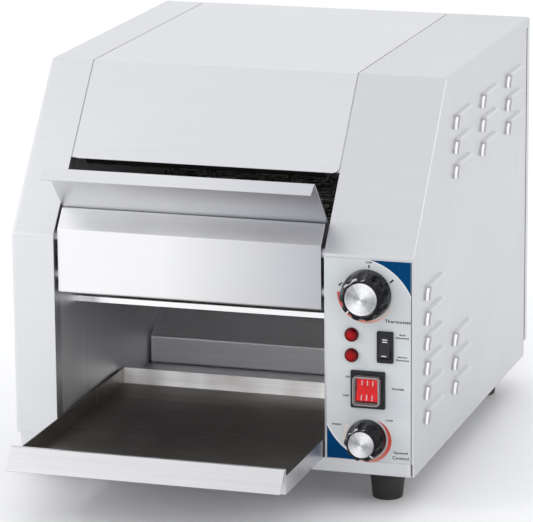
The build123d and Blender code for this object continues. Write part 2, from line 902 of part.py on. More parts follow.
def loop_stations(start, direction, pitch, runs, teeth):
    # points one pitch apart round two equal wheels, from the top of the first wheel
    radius = pitch / (2 * sin(pi / teeth))
    base_angle = atan2(direction[1], direction[0])
    end = (start[0] + direction[0] * runs * pitch, start[1] + direction[1] * runs * pitch)
    stations = []
    for step in range(runs + 1):
        middle = (start[0] + direction[0] * step * pitch, start[1] + direction[1] * step * pitch)
        for side in (pi / 2, -pi / 2):
            angle = base_angle + side
            stations.append((middle[0] + radius * cos(angle), middle[1] + radius * sin(angle)))
    for step in range(1, teeth // 2):
        turn = 2 * pi * step / teeth
        for middle, angle in ((end, base_angle + pi / 2 - turn), (start, base_angle - pi / 2 - turn)):
            stations.append((middle[0] + radius * cos(angle), middle[1] + radius * sin(angle)))
    return stations


def band_section(length, radius, height, rotation):
    # outline of a band round two equal wheels
    with BuildSketch() as section:
        SlotCenterToCenter(length, 2 * radius + height, rotation=rotation)
        SlotCenterToCenter(length, 2 * radius - height, rotation=rotation, mode=Mode.SUBTRACT)
    return section.sketch


# Conveyor belt: cross wires held by rows of links
belt_left = (bay_left + bay_right - belt_width) / 2
belt_length = belt_runs * belt_pitch
link_step = (belt_width - belt_link_width) / (belt_links - 1)
with BuildPart() as conveyor_belt:
    for index in range(belt_links):
        with BuildSketch(Plane.YZ.offset(belt_left + index * link_step)):
            with Locations(((idler_y + drive_y) / 2, conveyor_height)):
                add(band_section(belt_length, belt_radius, belt_link_height, 0))
        extrude(amount=belt_link_width)
    stations = loop_stations((idler_y, conveyor_height), (1, 0), belt_pitch, belt_runs, belt_teeth)
    with Locations(*[Plane((belt_left, y, z), z_dir=(1, 0, 0)) for y, z in stations]):
        Cylinder(belt_wire_radius, belt_width, align=standing)


def toothed_wheel(tip, notch, pitch_radius, teeth, first_angle):
    # flat view of a wheel whose notches lie over the loop's cross wires or rollers
    with BuildSketch() as section:
        Circle(tip)
        with PolarLocations(pitch_radius, teeth, start_angle=first_angle):
            Circle(notch, mode=Mode.SUBTRACT)
    return section.sketch


# Belt wheels: four on each shaft, between the rows of links
wheel_tip = belt_radius - belt_wire_radius - wheel_clearance
wheel_xs = [belt_left + (index + 0.5) * link_step + belt_link_width / 2 for index in (0, 2, 3, 5)]


def belt_wheel_set(y):
    with BuildPart() as wheels:
        for x in wheel_xs:
            with BuildSketch(across(x - belt_wheel_width / 2, y, conveyor_height)):
                add(
                    toothed_wheel(
                        wheel_tip,
                        belt_wire_radius + 3 * wheel_clearance,
                        belt_radius,
                        belt_teeth,
                        0,
                    )
                )
                Circle(shaft_radius, mode=Mode.SUBTRACT)
                with PolarLocations((wheel_tip + shaft_radius) / 2, 6):
                    Circle((wheel_tip - shaft_radius) / 4, mode=Mode.SUBTRACT)
            extrude(amount=belt_wheel_width)
    return wheels


idler_wheels = belt_wheel_set(idler_y)
drive_wheels = belt_wheel_set(drive_y)


# Shafts: both run in bushes in the inner walls, and the rear one reaches the chain
shaft_left = wall_left - sheet - bush_length
chain_x = wall_right + sheet + bush_flange + sprocket_gap
with BuildPart() as idler_shaft:
    with Locations(across(shaft_left, idler_y, conveyor_height)):
        Cylinder(shaft_radius, wall_right + sheet + bush_length - shaft_left, align=standing)
    chamfer(idler_shaft.edges().filter_by(GeomType.CIRCLE), shaft_chamfer)
with BuildPart() as drive_shaft:
    with Locations(across(shaft_left, drive_y, conveyor_height)):
        Cylinder(shaft_radius, chain_x + sprocket_width + sprocket_hub - shaft_left, align=standing)
    chamfer(drive_shaft.edges().filter_by(GeomType.CIRCLE), shaft_chamfer)

# Bushes: flanged, pressed into the inner walls from outside
with BuildPart() as shaft_bushes:
    for outward, wall_face in ((-1, wall_left), (1, wall_right)):
        for y, z in shaft_places:
            with Locations(Plane((wall_face, y, z), z_dir=(outward, 0, 0))):
                Cylinder(bush_radius, bush_length, align=standing)
                with Locations((0, 0, sheet)):
                    Cylinder(bush_flange_radius, bush_flange, align=standing)
                Cylinder(
                    shaft_radius + shaft_clearance,
                    bush_length,
                    align=standing,
                    mode=Mode.SUBTRACT,
                )

# Belt guides: angles on the walls under the upper run
guide_top = conveyor_height + belt_radius - max(belt_wire_radius, belt_link_height / 2) - guide_gap
with BuildPart() as belt_guides:
    for x, align in ((wall_left, Align.MIN), (wall_right, Align.MAX)):
        with Locations((x, front + guide_start, guide_top)):
            Box(guide_width, guide_end - guide_start, sheet, align=(align, Align.MIN, Align.MAX))
            Box(sheet, guide_end - guide_start, guide_height, align=(align, Align.MIN, Align.MAX))

# Chain drive: two equal sprockets in a straight line, one over the other
chain_radius = chain_pitch / (2 * sin(pi / chain_teeth))
motor_z = conveyor_height - chain_runs * chain_pitch
sprocket_tip = chain_radius - chain_roller_radius - wheel_clearance


def chain_sprocket(z, bore):
    with BuildPart() as sprocket:
        with BuildSketch(across(chain_x, drive_y, z)):
            add(
                toothed_wheel(
                    sprocket_tip, chain_roller_radius + 2 * wheel_clearance, chain_radius, chain_teeth, 0
                )
            )
        extrude(amount=sprocket_width)
        with BuildSketch(across(chain_x, drive_y, z)):
            Circle(sprocket_hub_radius)
        extrude(amount=sprocket_width + sprocket_hub)
        with BuildSketch(across(chain_x, drive_y, z)):
            Circle(bore)
        extrude(amount=sprocket_width + sprocket_hub, mode=Mode.SUBTRACT)
    return sprocket


driven_sprocket = chain_sprocket(conveyor_height, shaft_radius)
motor_sprocket = chain_sprocket(motor_z, motor_shaft_radius)
chain_middle_x = chain_x + sprocket_width / 2
with BuildPart() as drive_chain:
    for x in (chain_middle_x - chain_width / 2, chain_middle_x + chain_width / 2 - chain_plate):
        with BuildSketch(across(x, drive_y, (conveyor_height + motor_z) / 2)):
            add(band_section(chain_runs * chain_pitch, chain_radius, chain_plate_height, 90))
        extrude(amount=chain_plate)
    chain_stations = loop_stations((drive_y, motor_z), (0, 1), chain_pitch, chain_runs, chain_teeth)
    with Locations(*[across(chain_middle_x - chain_width / 2, y, z) for y, z in chain_stations]):
        Cylinder(chain_roller_radius, chain_width, align=standing)

# Gear motor on its bracket
bracket_x = wall_right + sheet + bracket_gap
with BuildPart() as motor_bracket:
    with BuildSketch(across(bracket_x, drive_y, floor)):
        with Locations((0, 0)):
            Rectangle(
                bracket_width,
                motor_z + gearbox_size / 2 - floor,
                align=(Align.CENTER, Align.MIN),
            )
        with Locations((0, motor_z - floor)):
            Circle(gearbox_boss_radius, mode=Mode.SUBTRACT)
            with GridLocations(gearbox_screw_pitch, gearbox_screw_pitch, 2, 2):
                Circle(screw_radius + screw_clearance, mode=Mode.SUBTRACT)
    extrude(amount=bracket_sheet)
    with Locations((bracket_x, drive_y, floor)):
        Box(bracket_foot, bracket_width, bracket_sheet, align=(Align.MIN, Align.CENTER, Align.MIN))
motor_face = bracket_x + bracket_sheet
output_start = motor_face + gearbox_depth / 2
with BuildPart() as gear_motor:
    with BuildSketch(across(motor_face, drive_y, motor_z)):
        RectangleRounded(gearbox_size, gearbox_size, gearbox_corner)
    extrude(amount=gearbox_depth)
    with BuildSketch(across(motor_face, drive_y, motor_z)):
        Circle(gearbox_boss_radius)
    extrude(amount=-bracket_sheet - gearbox_boss)
    with BuildSketch(across(motor_face + gearbox_depth, drive_y, motor_z)):
        Circle(motor_radius)
    extrude(amount=motor_length)
    with BuildSketch(across(motor_face - bracket_sheet - gearbox_boss, drive_y, motor_z)):
        Circle(motor_shaft_radius + shaft_clearance)
    extrude(amount=output_start - motor_face + bracket_sheet + gearbox_boss, mode=Mode.SUBTRACT)
    with Locations(across(motor_face, drive_y, motor_z)):
        with GridLocations(gearbox_screw_pitch, gearbox_screw_pitch, 2, 2):
            Cylinder(
                screw_radius,
                gearbox_screw_depth + bracket_sheet,
                align=standing,
                mode=Mode.SUBTRACT,
            )
with BuildPart() as output_shaft:
    with Locations(across(chain_x, drive_y, motor_z)):
        Cylinder(motor_shaft_radius, output_start - output_end_gap - chain_x, align=standing)
with BuildPart() as motor_screws:
    with Locations(Plane((bracket_x, drive_y, motor_z), z_dir=(-1, 0, 0))):
        with GridLocations(gearbox_screw_pitch, gearbox_screw_pitch, 2, 2):
            Cylinder(screw_head_radius, screw_head, align=standing)
            Cylinder(screw_radius, bracket_sheet + gearbox_screw_depth, align=hanging)


# Heating elements: straight tubes through both walls, with a pin at each end
element_left = wall_left - sheet - element_overhang
element_length = wall_right - wall_left + 2 * (sheet + element_overhang)


def element_row(places):
    with BuildPart() as row:
        with Locations(*[across(element_left, y, z) for y, z in places]):
            Cylinder(element_radius, element_length, align=standing)
        with Locations(*[across(element_left - element_pin, y, z) for y, z in places]):
            Cylinder(element_pin_radius, element_length + 2 * element_pin, align=standing)
    return row


upper_heating_elements = element_row(upper_element_places)
lower_heating_elements = element_row(lower_element_places)
with BuildPart() as heater_insulators:
    for outward, wall_face in ((-1, wall_left), (1, wall_right)):
        for y, z in upper_element_places + lower_element_places:
            with Locations(Plane((wall_face, y, z), z_dir=(outward, 0, 0))):
                Cylinder(insulator_radius, insulator_length, align=standing)
                with Locations((0, 0, sheet)):
                    Cylinder(insulator_flange_radius, insulator_flange, align=standing)
                Cylinder(
                    element_radius + insulator_clearance,
                    insulator_length,
                    align=standing,
                    mode=Mode.SUBTRACT,
                )


# Control plate: a thin face over the right column
plate_right = right - plate_margin
plate_x = bay_right + plate_left
with BuildPart() as control_plate:
    with BuildSketch(Plane.XZ.offset(-front)):
        with Locations((plate_x, plate_bottom)):
            Rectangle(plate_right - plate_x, plate_height, align=(Align.MIN, Align.MIN))
        add(control_openings(), mode=Mode.SUBTRACT)
    extrude(amount=plate_thickness)


def control_knob(height_on_panel, radius):
    # fluted grip that narrows to a rounded shoulder, with a seat for its cap
    grip_top = radius * knob_taper
    cap_radius = radius * cap_share
    with BuildPart() as knob:
        with BuildSketch(Plane.XZ) as section:
            with BuildLine():
                Polyline(
                    (grip_top, knob_height - knob_shoulder),
                    (radius, 0),
                    (0, 0),
                    (0, knob_height),
                    (cap_radius + knob_shoulder / 2, knob_height),
                )
                ThreePointArc(
                    (cap_radius + knob_shoulder / 2, knob_height),
                    (grip_top - knob_shoulder / 4, knob_height - knob_shoulder / 4),
                    (grip_top, knob_height - knob_shoulder),
                )
            make_face()
        revolve(axis=Axis.Z)
        with BuildSketch():
            with PolarLocations(radius + flute_radius - flute_depth, knob_flutes):
                Circle(flute_radius)
        extrude(amount=knob_height, mode=Mode.SUBTRACT)
        with BuildSketch(Plane.XY.offset(knob_height - cap_thickness)):
            Circle(cap_radius + cap_clearance)
        extrude(amount=cap_thickness, mode=Mode.SUBTRACT)
        with BuildSketch():
            Circle(knob_shaft_radius)
        extrude(amount=knob_shaft_depth, mode=Mode.SUBTRACT)
    with BuildPart() as cap:
        with BuildSketch(Plane.XY.offset(knob_height - cap_thickness)):
            Circle(cap_radius)
        extrude(amount=cap_thickness + cap_rise)
        chamfer(cap.edges().group_by(Axis.Z)[-1], cap_edge)
    with BuildPart() as placed_knob:
        with Locations(facing(dial_centre, plate_face - knob_gap, height_on_panel)):
            add(knob.part)
    with BuildPart() as placed_cap:
        with Locations(facing(dial_centre, plate_face - knob_gap, height_on_panel)):
            add(cap.part)
    return placed_knob, placed_cap


thermostat_knob, thermostat_cap = control_knob(thermostat_height, thermostat_radius)
speed_knob, speed_cap = control_knob(speed_height, speed_radius)

# Dial shafts: from inside the knobs into the controls behind the panel
def dial_shaft(height_on_panel):
    with BuildPart() as shaft:
        with Locations(facing(dial_centre, front + sheet + dial_shaft_reach, height_on_panel)):
            Cylinder(
                knob_shaft_radius,
                sheet + dial_shaft_reach + plate_thickness + knob_gap + knob_shaft_depth,
                align=standing,
            )
    return shaft


thermostat_shaft = dial_shaft(thermostat_height)
speed_shaft = dial_shaft(speed_height)

# Thermostat and speed control: each has a blind bore in which its dial shaft turns
dial_bore_end = front + sheet + dial_shaft_reach + output_end_gap
with BuildPart() as thermostat:
    with BuildSketch(Plane.XZ.offset(-front - sheet)):
        with Locations((dial_centre, thermostat_height)):
            RectangleRounded(thermostat_box, thermostat_box, thermostat_corner)
    extrude(amount=-thermostat_depth)
    with Locations(facing(dial_centre, dial_bore_end, thermostat_height)):
        Cylinder(
            knob_shaft_radius + shaft_clearance,
            dial_shaft_reach + output_end_gap,
            align=standing,
            mode=Mode.SUBTRACT,
        )
with BuildPart() as speed_control:
    with Locations(facing(dial_centre, front + sheet, speed_height)):
        Cylinder(potentiometer_radius, potentiometer_depth, align=hanging)
    with Locations(facing(dial_centre, dial_bore_end, speed_height)):
        Cylinder(
            knob_shaft_radius + shaft_clearance,
            dial_shaft_reach + output_end_gap,
            align=standing,
            mode=Mode.SUBTRACT,
        )


def pilot_lamp(height_on_panel):
    # domed lens with its snap-in body
    with BuildPart() as lamp:
        with Locations(facing(bay_right + lamp_x, plate_face, height_on_panel)):
            Cylinder(lamp_radius, lamp_dome, align=standing)
            Cylinder(lamp_body_radius, lamp_body, align=hanging)
        fillet(lamp.edges().sort_by(Axis.Y)[0], lamp_round)
    return lamp


upper_pilot_lamp = pilot_lamp(lamp_heights[0])
lower_pilot_lamp = pilot_lamp(lamp_heights[1])


def rocker_switch(x, z, bezel, opening):
    # frame and rocker share one pivot line behind the bezel
    pivot_y = plate_face - bezel_thickness + rocker_face + rocker_clearance
    reach = opening[1] / 2
    body = [size + 2 * (rocker_clearance + switch_wall) for size in opening]
    cavity_width = opening[0] + 2 * rocker_clearance
    sweep_radius = sqrt(reach**2 + rocker_face**2)
    tip = rocker_tip * pi / 180
    with BuildPart() as frame:
        with Locations(facing(x, plate_face, z)):
            Box(*bezel, bezel_thickness, align=standing)
        fillet(frame.edges().filter_by(Axis.Y), bezel_corner)
        chamfer(frame.faces().sort_by(Axis.Y)[0].edges(), bezel_edge)
        with Locations(facing(x, plate_face, z)):
            Box(*body, switch_depth, align=hanging)
        with Locations(across(x, pivot_y, z)):
            Cylinder(sweep_radius + rocker_clearance, cavity_width, mode=Mode.SUBTRACT)
            Cylinder(
                pivot_radius + pivot_clearance,
                cavity_width + 2 * (pivot_length + pivot_end_gap),
                mode=Mode.SUBTRACT,
            )
    far = 2 * sweep_radius
    with BuildPart() as rocker:
        with BuildSketch(across(x - opening[0] / 2, pivot_y, z)):
            Circle(sweep_radius)
            with BuildLine():
                Polyline(
                    (-rocker_face, 0),
                    (-rocker_face, far),
                    (-far, far),
                    (-far, -far),
                    (-rocker_face - far * sin(tip), -far * cos(tip)),
                    close=True,
                )
            make_face(mode=Mode.SUBTRACT)
        extrude(amount=opening[0])
        with Locations(across(x, pivot_y, z)):
            Cylinder(pivot_radius, cavity_width + 2 * pivot_length)
    return frame, rocker


selector_switch, selector_rocker = rocker_switch(
    bay_right + selector_x, selector_height, selector_bezel, selector_opening
)
power_switch, power_rocker = rocker_switch(bay_right + power_x, power_height, power_bezel, power_opening)

# Clear cover over the power rocker
boot_inside = [size + 2 * boot_margin for size in power_opening]
boot_outside = [size + 2 * boot_wall for size in boot_inside]
with BuildPart() as power_switch_cover:
    with Locations(facing(bay_right + power_x, plate_face - bezel_thickness, power_height)):
        Box(*boot_outside, boot_height, align=standing)
    fillet(power_switch_cover.edges().filter_by(Axis.Y), boot_corner)
    fillet(power_switch_cover.faces().sort_by(Axis.Y)[0].edges(), boot_edge)
    with Locations(facing(bay_right + power_x, plate_face - bezel_thickness, power_height)):
        Box(*boot_inside, boot_height - boot_wall, align=standing, mode=Mode.SUBTRACT)

# Speed control board on its posts
board_place = ((wall_right + right) / 2, front + board_depth)
with BuildPart() as speed_board:
    with Locations((*board_place, floor + board_lift)):
        Box(*board_size, board_thickness, align=standing)
    with Locations((*board_place, floor)):
        with GridLocations(*[size - 2 * board_post_inset for size in board_size], 2, 2):
            Cylinder(board_post_radius, board_lift, align=standing)
    board_top = floor + board_lift + board_thickness
    with Locations((board_place[0], board_place[1] + board_part_offset, board_top)):
        Box(*heat_sink_size, align=standing)
    with Locations((board_place[0], board_place[1] - board_part_offset, board_top)):
        Cylinder(capacitor_radius, capacitor_height, align=standing)

# Thermostat bulb in the chamber, and the capillary that joins it to the thermostat
bulb_y = front + bulb_depth
bulb_x = wall_right - bulb_clip
capillary_route = [
    (bulb_x, bulb_y, bulb_height),
    (wall_right + 3 * capillary_bend, bulb_y, bulb_height),
    (wall_right + 3 * capillary_bend, front + 2 * thermostat_depth, bulb_height),
    (wall_right + 3 * capillary_bend, front + 2 * thermostat_depth, thermostat_height + capillary_lift),
    (
        wall_right + 3 * capillary_bend,
        front + sheet + thermostat_depth,
        thermostat_height + capillary_lift,
    ),
]
with BuildPart() as thermostat_bulb:
    with Locations(Plane((bulb_x, bulb_y, bulb_height), z_dir=(0, 1, 0))):
        Cylinder(bulb_radius, bulb_length, align=standing)
    with BuildLine() as capillary_line:
        FilletPolyline(*capillary_route, radius=capillary_bend)
    with BuildSketch(Plane(capillary_route[0], z_dir=(1, 0, 0))):
        Circle(capillary_radius)
    sweep(path=capillary_line.wires()[0])

# High limit cut-out on the compartment side of the wall
with BuildPart() as limit_cutout:
    with Locations(across(wall_right + sheet, front + cutout_depth, cutout_height)):
        Cylinder(cutout_radius, cutout_thickness, align=standing)
        Box(3 * cutout_radius, cutout_radius, sheet, align=standing)
        with Locations((0, 0, cutout_thickness)):
            with GridLocations(cutout_radius, 0, 2, 1):
                Box(*blade_terminal, align=standing)

# Cooling fan on the rear cover: frame with a centre boss, and the rotor on its axle
fan_x, fan_z = fan_centre
fan_back = back - sheet


with BuildPart() as fan_frame:
    with BuildSketch(rearward(fan_x, fan_back - fan_depth, fan_z)):
        RectangleRounded(fan_size, fan_size, fan_corner)
        Circle(fan_bore_radius, mode=Mode.SUBTRACT)
    extrude(amount=fan_depth)
    with BuildSketch(rearward(fan_x, fan_back - fan_depth, fan_z)):
        Circle(fan_hub_radius)
        with PolarLocations(0, fan_struts):
            Rectangle(fan_bore_radius + fan_clearance, fan_strut, align=(Align.MIN, Align.CENTER))
    extrude(amount=fan_strut)
    with Locations(rearward(fan_x, fan_back - fan_depth, fan_z)):
        Cylinder(fan_axle_radius, fan_depth - fan_strut, align=standing)
rotor_start = fan_back - fan_depth + fan_strut + fan_clearance
rotor_depth = fan_depth - 2 * (fan_strut + fan_clearance)
with BuildPart() as fan_rotor:
    with Locations(rearward(fan_x, rotor_start, fan_z)):
        Cylinder(fan_hub_radius, rotor_depth, align=standing)
    blade_root = fan_hub_radius - fan_blade_sheet
    for index in range(fan_blades):
        turn = Plane((fan_x, rotor_start + rotor_depth / 2, fan_z), x_dir=(0, 0, 1), z_dir=(0, 1, 0))
        with Locations(turn.rotated((0, 0, index * 360 / fan_blades))):
            with Locations(Location((blade_root, 0, 0), (fan_blade_angle, 0, 0))):
                Box(
                    fan_bore_radius - fan_clearance - blade_root,
                    fan_blade_depth,
                    fan_blade_sheet,
                    align=(Align.MIN, Align.CENTER, Align.CENTER),
                )
    with Locations(rearward(fan_x, rotor_start, fan_z)):
        Cylinder(fan_axle_radius + shaft_clearance, rotor_depth, align=standing, mode=Mode.SUBTRACT)

# Terminal block and cable gland
terminal_place = ((wall_right + right) / 2, back - terminal_back, floor)
with BuildPart() as terminal_block:
    with Locations(terminal_place):
        Box(*terminal_size, align=standing)
    terminal_pitch = terminal_size[0] / terminal_ways
    with Locations((terminal_place[0], terminal_place[1], floor + terminal_size[2])):
        with GridLocations(terminal_pitch, 0, terminal_ways, 1):
            Hole(terminal_hole_radius, terminal_size[2] / 2)
        with GridLocations(terminal_pitch, 0, terminal_ways + 1, 1):
            Box(terminal_slit[0], terminal_size[1], 2 * terminal_slit[1], mode=Mode.SUBTRACT)
with BuildPart() as cable_gland:
    with Locations(rearward(gland_place[0], back, gland_place[1])):
        Cylinder(gland_radius, gland_reach, align=standing)
        Cylinder(gland_body_radius, gland_inner, align=hanging)
    chamfer(cable_gland.edges().sort_by(Axis.Y)[-1], gland_edge)
    with Locations(rearward(gland_place[0], back, gland_place[1])):
        Cylinder(gland_bore_radius, 4 * gland_reach, mode=Mode.SUBTRACT)

pieces = {
    "base_pan": base_pan,
    "rubber_feet": rubber_feet,
    "foot_screws": foot_screws,
    "left_housing": left_housing,
    "right_housing": right_housing,
    "left_inner_wall": left_inner_wall,
    "right_inner_wall": right_inner_wall,
    "top_cover": top_cover,
    "rear_cover": rear_cover,
    "rear_cover_screws": rear_cover_screws,
    "base_screws": base_screws,
    "front_panel": front_panel,
    "panel_spacers": panel_spacers,
    "feed_ramp": feed_ramp,
    "heat_shield": heat_shield,
    "upper_reflector": upper_reflector,
    "return_chute": return_chute,
    "toast_tray": toast_tray,
    "conveyor_belt": conveyor_belt,
    "idler_shaft": idler_shaft,
    "idler_wheels": idler_wheels,
    "drive_shaft": drive_shaft,
    "drive_wheels": drive_wheels,
    "shaft_bushes": shaft_bushes,
    "belt_guides": belt_guides,
    "driven_sprocket": driven_sprocket,
    "motor_sprocket": motor_sprocket,
    "drive_chain": drive_chain,
    "motor_bracket": motor_bracket,
    "gear_motor": gear_motor,
    "output_shaft": output_shaft,
    "motor_screws": motor_screws,
    "upper_heating_elements": upper_heating_elements,
    "lower_heating_elements": lower_heating_elements,
    "heater_insulators": heater_insulators,
    "control_plate": control_plate,
    "thermostat_knob": thermostat_knob,
    "thermostat_cap": thermostat_cap,
    "thermostat_shaft": thermostat_shaft,
    "thermostat": thermostat,
    "thermostat_bulb": thermostat_bulb,
    "speed_knob": speed_knob,
    "speed_cap": speed_cap,
    "speed_shaft": speed_shaft,
    "speed_control": speed_control,
    "speed_board": speed_board,
    "upper_pilot_lamp": upper_pilot_lamp,
    "lower_pilot_lamp": lower_pilot_lamp,
    "selector_switch": selector_switch,
    "selector_rocker": selector_rocker,
    "power_switch": power_switch,
    "power_rocker": power_rocker,
    "power_switch_cover": power_switch_cover,
    "limit_cutout": limit_cutout,
    "fan_frame": fan_frame,
    "fan_rotor": fan_rotor,
    "terminal_block": terminal_block,
    "cable_gland": cable_gland,
}

os.makedirs("parts", exist_ok=True)
for name, piece in pieces.items():
    piece.part.label = name
    export_step(piece.part, f"parts/{name}.step")
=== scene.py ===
from math import acos, asin, cos, degrees, exp, log, pi, radians, sin, sqrt

import bmesh
import bpy
from mathutils import Matrix, Vector


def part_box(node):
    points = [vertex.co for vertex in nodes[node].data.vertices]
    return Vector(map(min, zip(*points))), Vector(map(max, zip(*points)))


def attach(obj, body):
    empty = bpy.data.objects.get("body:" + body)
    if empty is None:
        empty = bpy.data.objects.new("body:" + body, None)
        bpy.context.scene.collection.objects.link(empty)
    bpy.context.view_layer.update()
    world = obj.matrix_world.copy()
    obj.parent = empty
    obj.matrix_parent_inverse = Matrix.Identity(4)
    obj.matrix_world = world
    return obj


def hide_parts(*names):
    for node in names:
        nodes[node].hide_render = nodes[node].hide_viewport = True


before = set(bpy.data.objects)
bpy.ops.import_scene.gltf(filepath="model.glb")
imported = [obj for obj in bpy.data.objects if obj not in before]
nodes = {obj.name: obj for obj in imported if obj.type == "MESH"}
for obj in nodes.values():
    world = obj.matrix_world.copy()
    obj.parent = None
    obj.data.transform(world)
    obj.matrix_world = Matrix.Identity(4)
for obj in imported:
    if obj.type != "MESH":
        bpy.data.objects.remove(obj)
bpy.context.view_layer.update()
mm = 0.001


class Look(dict):
    # values that may be changed, read by name
    __getattr__ = dict.__getitem__


def addNode(kind, inputs=(), tree=None, **settings):
    # a shader node joins the tree of the sockets that feed it
    inputs = dict(inputs)
    tree = tree or next(value.id_data for value in inputs.values() if isinstance(value, bpy.types.NodeSocket))
    node = tree.nodes.new("ShaderNode" + kind)
    for name, value in settings.items():
        setattr(node, name, value)
    for key, value in inputs.items():
        socket = node.inputs[key]
        if isinstance(value, bpy.types.NodeSocket):
            tree.links.new(value, socket)
        else:
            socket.default_value = (*value, 1) if socket.type == "RGBA" else value
    return node


def maths(operation, first, second=0.0, clamp=False):
    return addNode("Math", {0: first, 1: second}, operation=operation, use_clamp=clamp).outputs[0]


def times(first, *others):
    return maths("MULTIPLY", first, times(*others)) if others else first


def inverse(value):
    return maths("SUBTRACT", 1.0, value)


def over(value, limit):
    return maths("GREATER_THAN", value, limit)


def under(value, limit):
    return maths("LESS_THAN", value, limit)


def vectors(operation, first, second=(0, 0, 0)):
    return addNode("VectorMath", {0: first, 1: second}, operation=operation).outputs


def split(vector):
    return addNode("SeparateXYZ", {0: vector}).outputs


def mixColor(factor, first, second, blend="MIX"):
    inputs = {0: factor, 6: first, 7: second}
    return addNode("Mix", inputs, data_type="RGBA", blend_type=blend, clamp_factor=True).outputs[2]


def mixVector(factor, first, second):
    return addNode("Mix", {0: factor, 4: first, 5: second}, data_type="VECTOR").outputs[1]


def remap(value, low, high, newLow=0.0, newHigh=1.0):
    inputs = {"Value": value, "From Min": low, "From Max": high, "To Min": newLow, "To Max": newHigh}
    return addNode("MapRange", inputs, clamp=True).outputs[0]


def noise(vector, scale, detail=3.0, rough=0.55, distort=0.0):
    inputs = {"Vector": vector, "Scale": scale, "Detail": detail, "Roughness": rough, "Distortion": distort}
    return addNode("TexNoise", inputs).outputs["Fac"]


def bump(height, strength, distance, normal=None):
    inputs = {"Height": height, "Strength": strength, "Distance": distance * mm}
    return addNode("Bump", inputs if normal is None else {**inputs, "Normal": normal}).outputs[0]


# how often per metre the marks of the shared effects repeat
effectLook = Look(
    toneStretch=((5, 620, 620), (620, 620, 5)), heightStretch=((40, 1500, 1500), (1500, 1500, 40)),
    rubScale=160.0, ringScale=420.0, dustScale=45.0, speckScale=210.0, speckPatch=60.0,
)


def brushedGrain(given):
    # long scratches along X on fronts and tops, and up and down on the side panels
    side = over(maths("ABSOLUTE", split(given["Facing"])["X"]), 0.7)
    made = []
    for stretch in (effectLook.toneStretch, effectLook.heightStretch):
        place = vectors("MULTIPLY", given["Place"], mixVector(side, *stretch))[0]
        made.append(noise(place, given["Fineness"], 2.0, 0.5))
    return made


def softSmudge(given):
    # slow patches where the sheet was wiped and handled
    return [remap(noise(given["Place"], given["Scale"], 4.0, 0.55, 0.6), 0.35, 0.68)]


def roundedEdge(given):
    # light rounding of hard edges, and a mask of where they are rubbed
    bevel = addNode("Bevel", {"Radius": given["Radius"]}, samples=4).outputs[0]
    flat = addNode("NewGeometry", tree=given["Place"].id_data).outputs["Normal"]
    edge = remap(vectors("DOT_PRODUCT", bevel, flat)["Value"], 0.995, 0.9)
    patchy = remap(noise(given["Place"], effectLook.rubScale, 3.0, 0.6), 0.35, 0.65, 0.35, 1.0)
    return [bevel, times(edge, patchy)]


def turnedRings(given):
    # fine tool marks round an axis
    arm = vectors("SUBTRACT", given["Place"], given["Centre"])[0]
    along = vectors("DOT_PRODUCT", arm, given["Axis"])["Value"]
    radius = vectors("LENGTH", vectors("CROSS_PRODUCT", arm, given["Axis"])[0])["Value"]
    marks = addNode("CombineXYZ", {0: radius, 1: along}).outputs[0]
    return [noise(marks, effectLook.ringScale, 2.0), noise(marks, given["Fineness"], 2.0, 0.5), radius]


def mouldedSkin(given):
    # fine spark-eroded texture of moulded plastic, with dust that settles in patches
    dust = noise(given["Place"], effectLook.dustScale, 5.0, 0.65, 0.3)
    return [noise(given["Place"], given["Grain"], 3.0, 0.5), remap(dust, 0.5, 0.8)]


def heatStain(given):
    # cloudy bronze tint with crisp specks, as baked crumbs and fat leave
    cloud = noise(given["Place"], given["Scale"], 5.0, 0.5, 0.8)
    specks = addNode("TexVoronoi", {"Vector": given["Place"], "Scale": effectLook.speckScale})
    chosen = remap(noise(given["Place"], effectLook.speckPatch, 2.0), 0.55, 0.7)
    return [remap(cloud, 0.3, 0.72), times(remap(specks.outputs["Distance"], 0.22, 0.1), chosen)]


def makeGroup(build, made, given):
    # a shared effect, which gives out only masks, heights and normals
    group = bpy.data.node_groups.new(build.__name__, "ShaderNodeTree")
    made = {name: None if name == "Normal" else 0.0 for name in made}
    for way, sockets in (("INPUT", {"Place": None, **given}), ("OUTPUT", made)):
        for name, value in sockets.items():
            kind = "NodeSocketFloat" if isinstance(value, float) else "NodeSocketVector"
            socket = group.interface.new_socket(name=name, in_out=way, socket_type=kind)
            if value is not None:
                socket.default_value = value
    results = build(group.nodes.new("NodeGroupInput").outputs)
    for value, socket in zip(results, group.nodes.new("NodeGroupOutput").inputs):
        group.links.new(value, socket)
    return group


effects = {
    "brushedGrain": makeGroup(brushedGrain, ("Tone", "Height"), {"Facing": None, "Fineness": 1.0}),
    "softSmudge": makeGroup(softSmudge, ("Mask",), {"Scale": 9.0}),
    "roundedEdge": makeGroup(roundedEdge, ("Normal", "Wear"), {"Radius": 0.6 * mm}),
    "turnedRings": makeGroup(
        turnedRings, ("Tone", "Height", "Radius"), {"Centre": None, "Axis": (1, 0, 0), "Fineness": 2500.0}
    ),
    "mouldedSkin": makeGroup(mouldedSkin, ("Height", "Dust"), {"Grain": 2600.0}),
    "heatStain": makeGroup(heatStain, ("Cloud", "Speck"), {"Scale": 12.0}),
}
finishes = {}


def effect(name, place, **inputs):
    return addNode("Group", {"Place": place["Object"], **inputs}, node_tree=effects[name]).outputs


def softEdge(place, radius):
    return effect("roundedEdge", place, Radius=radius * mm)


def startFinish(name, fixed=()):
    # a material with one Principled shader: what is the same all over is set on its own sockets
    material = finishes[name] = bpy.data.materials.new(name)
    material.use_nodes = True
    tree = material.node_tree
    tree.nodes.clear()
    shader = addNode("BsdfPrincipled", fixed, tree)
    addNode("OutputMaterial", {"Surface": shader.outputs[0]})
    return shader, addNode("TexCoord", tree=tree).outputs


